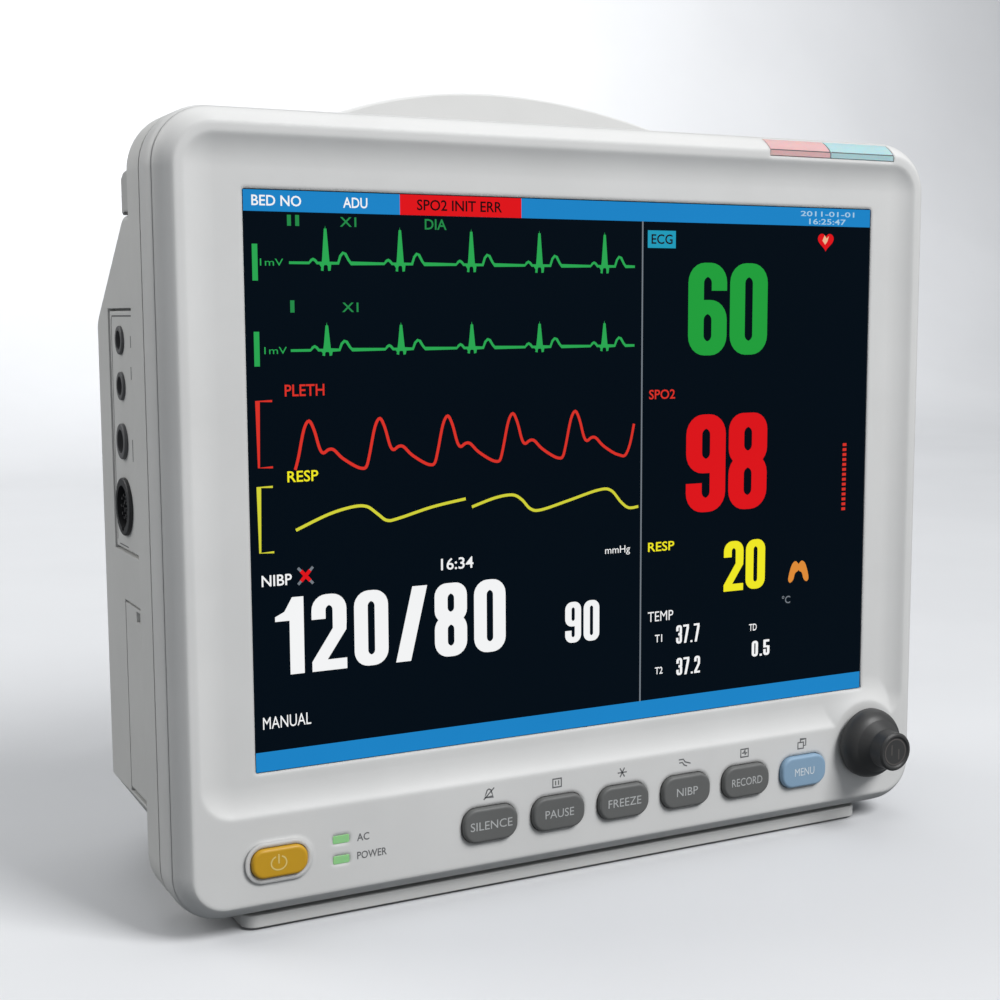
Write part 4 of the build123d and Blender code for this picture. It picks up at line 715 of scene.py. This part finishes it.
led_low, led_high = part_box("indicator_lenses")
words("print_mains", "AC", (led_high.x + 2.8 * MM, led_high.x + 7.2 * MM, led_high.z - 3.0 * MM, led_high.z - 0.4 * MM),
      CASE_PRINT_Y, DARK_INK_AND_SHADE, bold=0.01)
words("print_power", "POWER", (led_high.x + 2.8 * MM, led_high.x + 13.4 * MM, led_low.z + 0.4 * MM,
      led_low.z + 3.0 * MM), CASE_PRINT_Y, DARK_INK_AND_SHADE, bold=0.01)


# A fine dark line across each alarm lens, where its curved top meets its front: painted shade along that crease.

for lens_node in ("alarm_lens_red", "alarm_lens_cyan"):
    low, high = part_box(lens_node)
    ribbon(f"{lens_node}_edge", [(low.x, low.z + 2.0 * MM), (high.x, low.z + 2.0 * MM)], 0.35 * MM,
           CASE_PRINT_Y, DARK_INK_AND_SHADE)

# Marks on the patient connector panel: painted shadow lines along the edges of the panel's recess, and a printed dash
# beside each socket.

side_panel_low, side_panel_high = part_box("connector_panel")


def side_line(name, path, width, body="case"):
    """A dark line on the side panel, along (y, z) points in millimetres, used both for painted shade and for printed
    marks.
    """
    face_x = side_panel_low.x - LAYER
    ribbon(name, [(y * MM, z * MM) for y, z in path], width * MM, face_x, DARK_INK_AND_SHADE, body,
           place=lambda y, z: (face_x, y, z))


# Painted shadow: these two lines stand for the shade in the gap around the panel's recess.
side_line("panel_shadow_line", [(-23.0, 200.2), (3.2, 200.2), (4.4, 199.0), (4.8, 150.0), (4.8, 124.0)], 0.5)
side_line("panel_shadow_line_low", [(2.0, 122.8), (-10.0, 122.8)], 0.4)
for mark, (mark_y, mark_z, mark_height) in enumerate(((-21.5, 191.8, 3.8), (-21.0, 181.6, 4.2),
                                                      (-20.0, 156.2, 7.2))):
    side_line(f"socket_mark_{mark}",
              [(mark_y, mark_z - mark_height / 2), (mark_y, mark_z + mark_height / 2)], 0.7)


# ---- knob face ------------------------------------------------------------------------------

knob_low, knob_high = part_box("knob")
knob_middle = (knob_low + knob_high) / 2
face_y = knob_low.y + 0.5 * MM - LAYER
KNOB_PRINT = moulded("knob_print", tone(92, 88, 86), 0.6)
ribbon("knob_ring", circle(knob_middle.x, knob_middle.z, 4.9 * MM), 0.5 * MM, face_y, KNOB_PRINT, "knob", closed=True)
for side in (-1, 1):
    ribbon(f"knob_mark_{'left' if side < 0 else 'right'}",
           [(knob_middle.x + side * 1.7 * MM, knob_middle.z + (1.9 - 1.0 * side) * MM),
            (knob_middle.x + side * 1.7 * MM, knob_middle.z + (-2.2 - 1.0 * side) * MM)],
           0.6 * MM, face_y, KNOB_PRINT, "knob")


# ---- stage ----------------------------------------------------------------------------------

def sweep_floor():
    """A pale floor that curves up into a backdrop."""
    front, bend, radius, top, half = -3.5, 1.4, 1.2, 3.6, 5.0
    profile = [(front, 0.0), (bend, 0.0)]
    for step in range(1, 17):
        angle = math.radians(90 * step / 16)
        profile.append((bend + radius * math.sin(angle), radius * (1 - math.cos(angle))))
    profile.append((bend + radius, top))
    points = []
    for y, z in profile:
        points += [(-half, y, z), (half, y, z)]
    faces = [(2 * i, 2 * i + 1, 2 * i + 3, 2 * i + 2) for i in range(len(profile) - 1)]
    mesh = bpy.data.meshes.new("floor")
    mesh.from_pydata(points, [], faces)
    for polygon in mesh.polygons:
        polygon.use_smooth = True
    floor = bpy.data.objects.new("floor", mesh)
    bpy.context.scene.collection.objects.link(floor)
    shader = Shader("pale_floor")
    cloud = shader.noise(3, 4)
    tint = shader.mix(shader.spread(cloud, 0, 1), (0.80, 0.81, 0.83, 1), (0.84, 0.85, 0.87, 1))
    seen = shader.node("LightPath").outputs["Is Camera Ray"]
    skin = shader.node("BsdfPrincipled", Base_Color=shader.mix(seen, (0.13, 0.14, 0.15, 1), tint),
                       Roughness=0.55, Normal=shader.bump(shader.noise(500, 3), 0.05, 0.0005))
    mesh.materials.append(shader.finish(skin.outputs[0]))


def softbox(name, place, size, power, target=(0, -0.02, 0.14), color=(1, 1, 1)):
    light = bpy.data.lights.new(name, "AREA")
    light.shape = "RECTANGLE"
    light.size, light.size_y = size
    light.energy = power
    light.color = color
    made = bpy.data.objects.new(name, light)
    bpy.context.scene.collection.objects.link(made)
    made.location = place
    made.rotation_euler = (Vector(target) - Vector(place)).to_track_quat("-Z", "Y").to_euler()


sweep_floor()
softbox("key_light", (0.85, -1.6, 1.8), (1.0, 1.0), 50)
softbox("top_light", (0.2, 0.4, 1.8), (1.6, 1.2), 6)
softbox("side_light", (-1.2, 0.9, 0.9), (1.0, 1.0), 10, target=(-0.15, 0.02, 0.15), color=(1.0, 0.99, 0.97))
softbox("backdrop_light", (0.6, 1.5, 2.4), (2.4, 0.8), 60, target=(0.8, 3.2, 1.4))

world = bpy.data.worlds.new("studio")
bpy.context.scene.world = world
world.use_nodes = True
world.node_tree.nodes["Background"].inputs["Color"].default_value = (0.93, 0.96, 1.0, 1)
world.node_tree.nodes["Background"].inputs["Strength"].default_value = 0.27
bpy.context.scene.view_settings.view_transform = "Standard"

YAW, PITCH, ROLL = 27.007, 6.773, -0.266
camera_data = bpy.data.cameras.new("camera")
camera_data.lens = 56.06
camera_data.sensor_width = 36.0
camera_data.clip_start = 0.01
camera = bpy.data.objects.new("camera", camera_data)
bpy.context.scene.collection.objects.link(camera)
turn = Euler((math.radians(90 - PITCH), 0, math.radians(-YAW)), "XYZ").to_matrix()
camera.matrix_world = (Matrix.Translation((-0.27372, -0.52872, 0.19992))
                       @ (turn @ Euler((0, 0, math.radians(ROLL)), "XYZ").to_matrix()).to_4x4())
bpy.context.scene.camera = camera
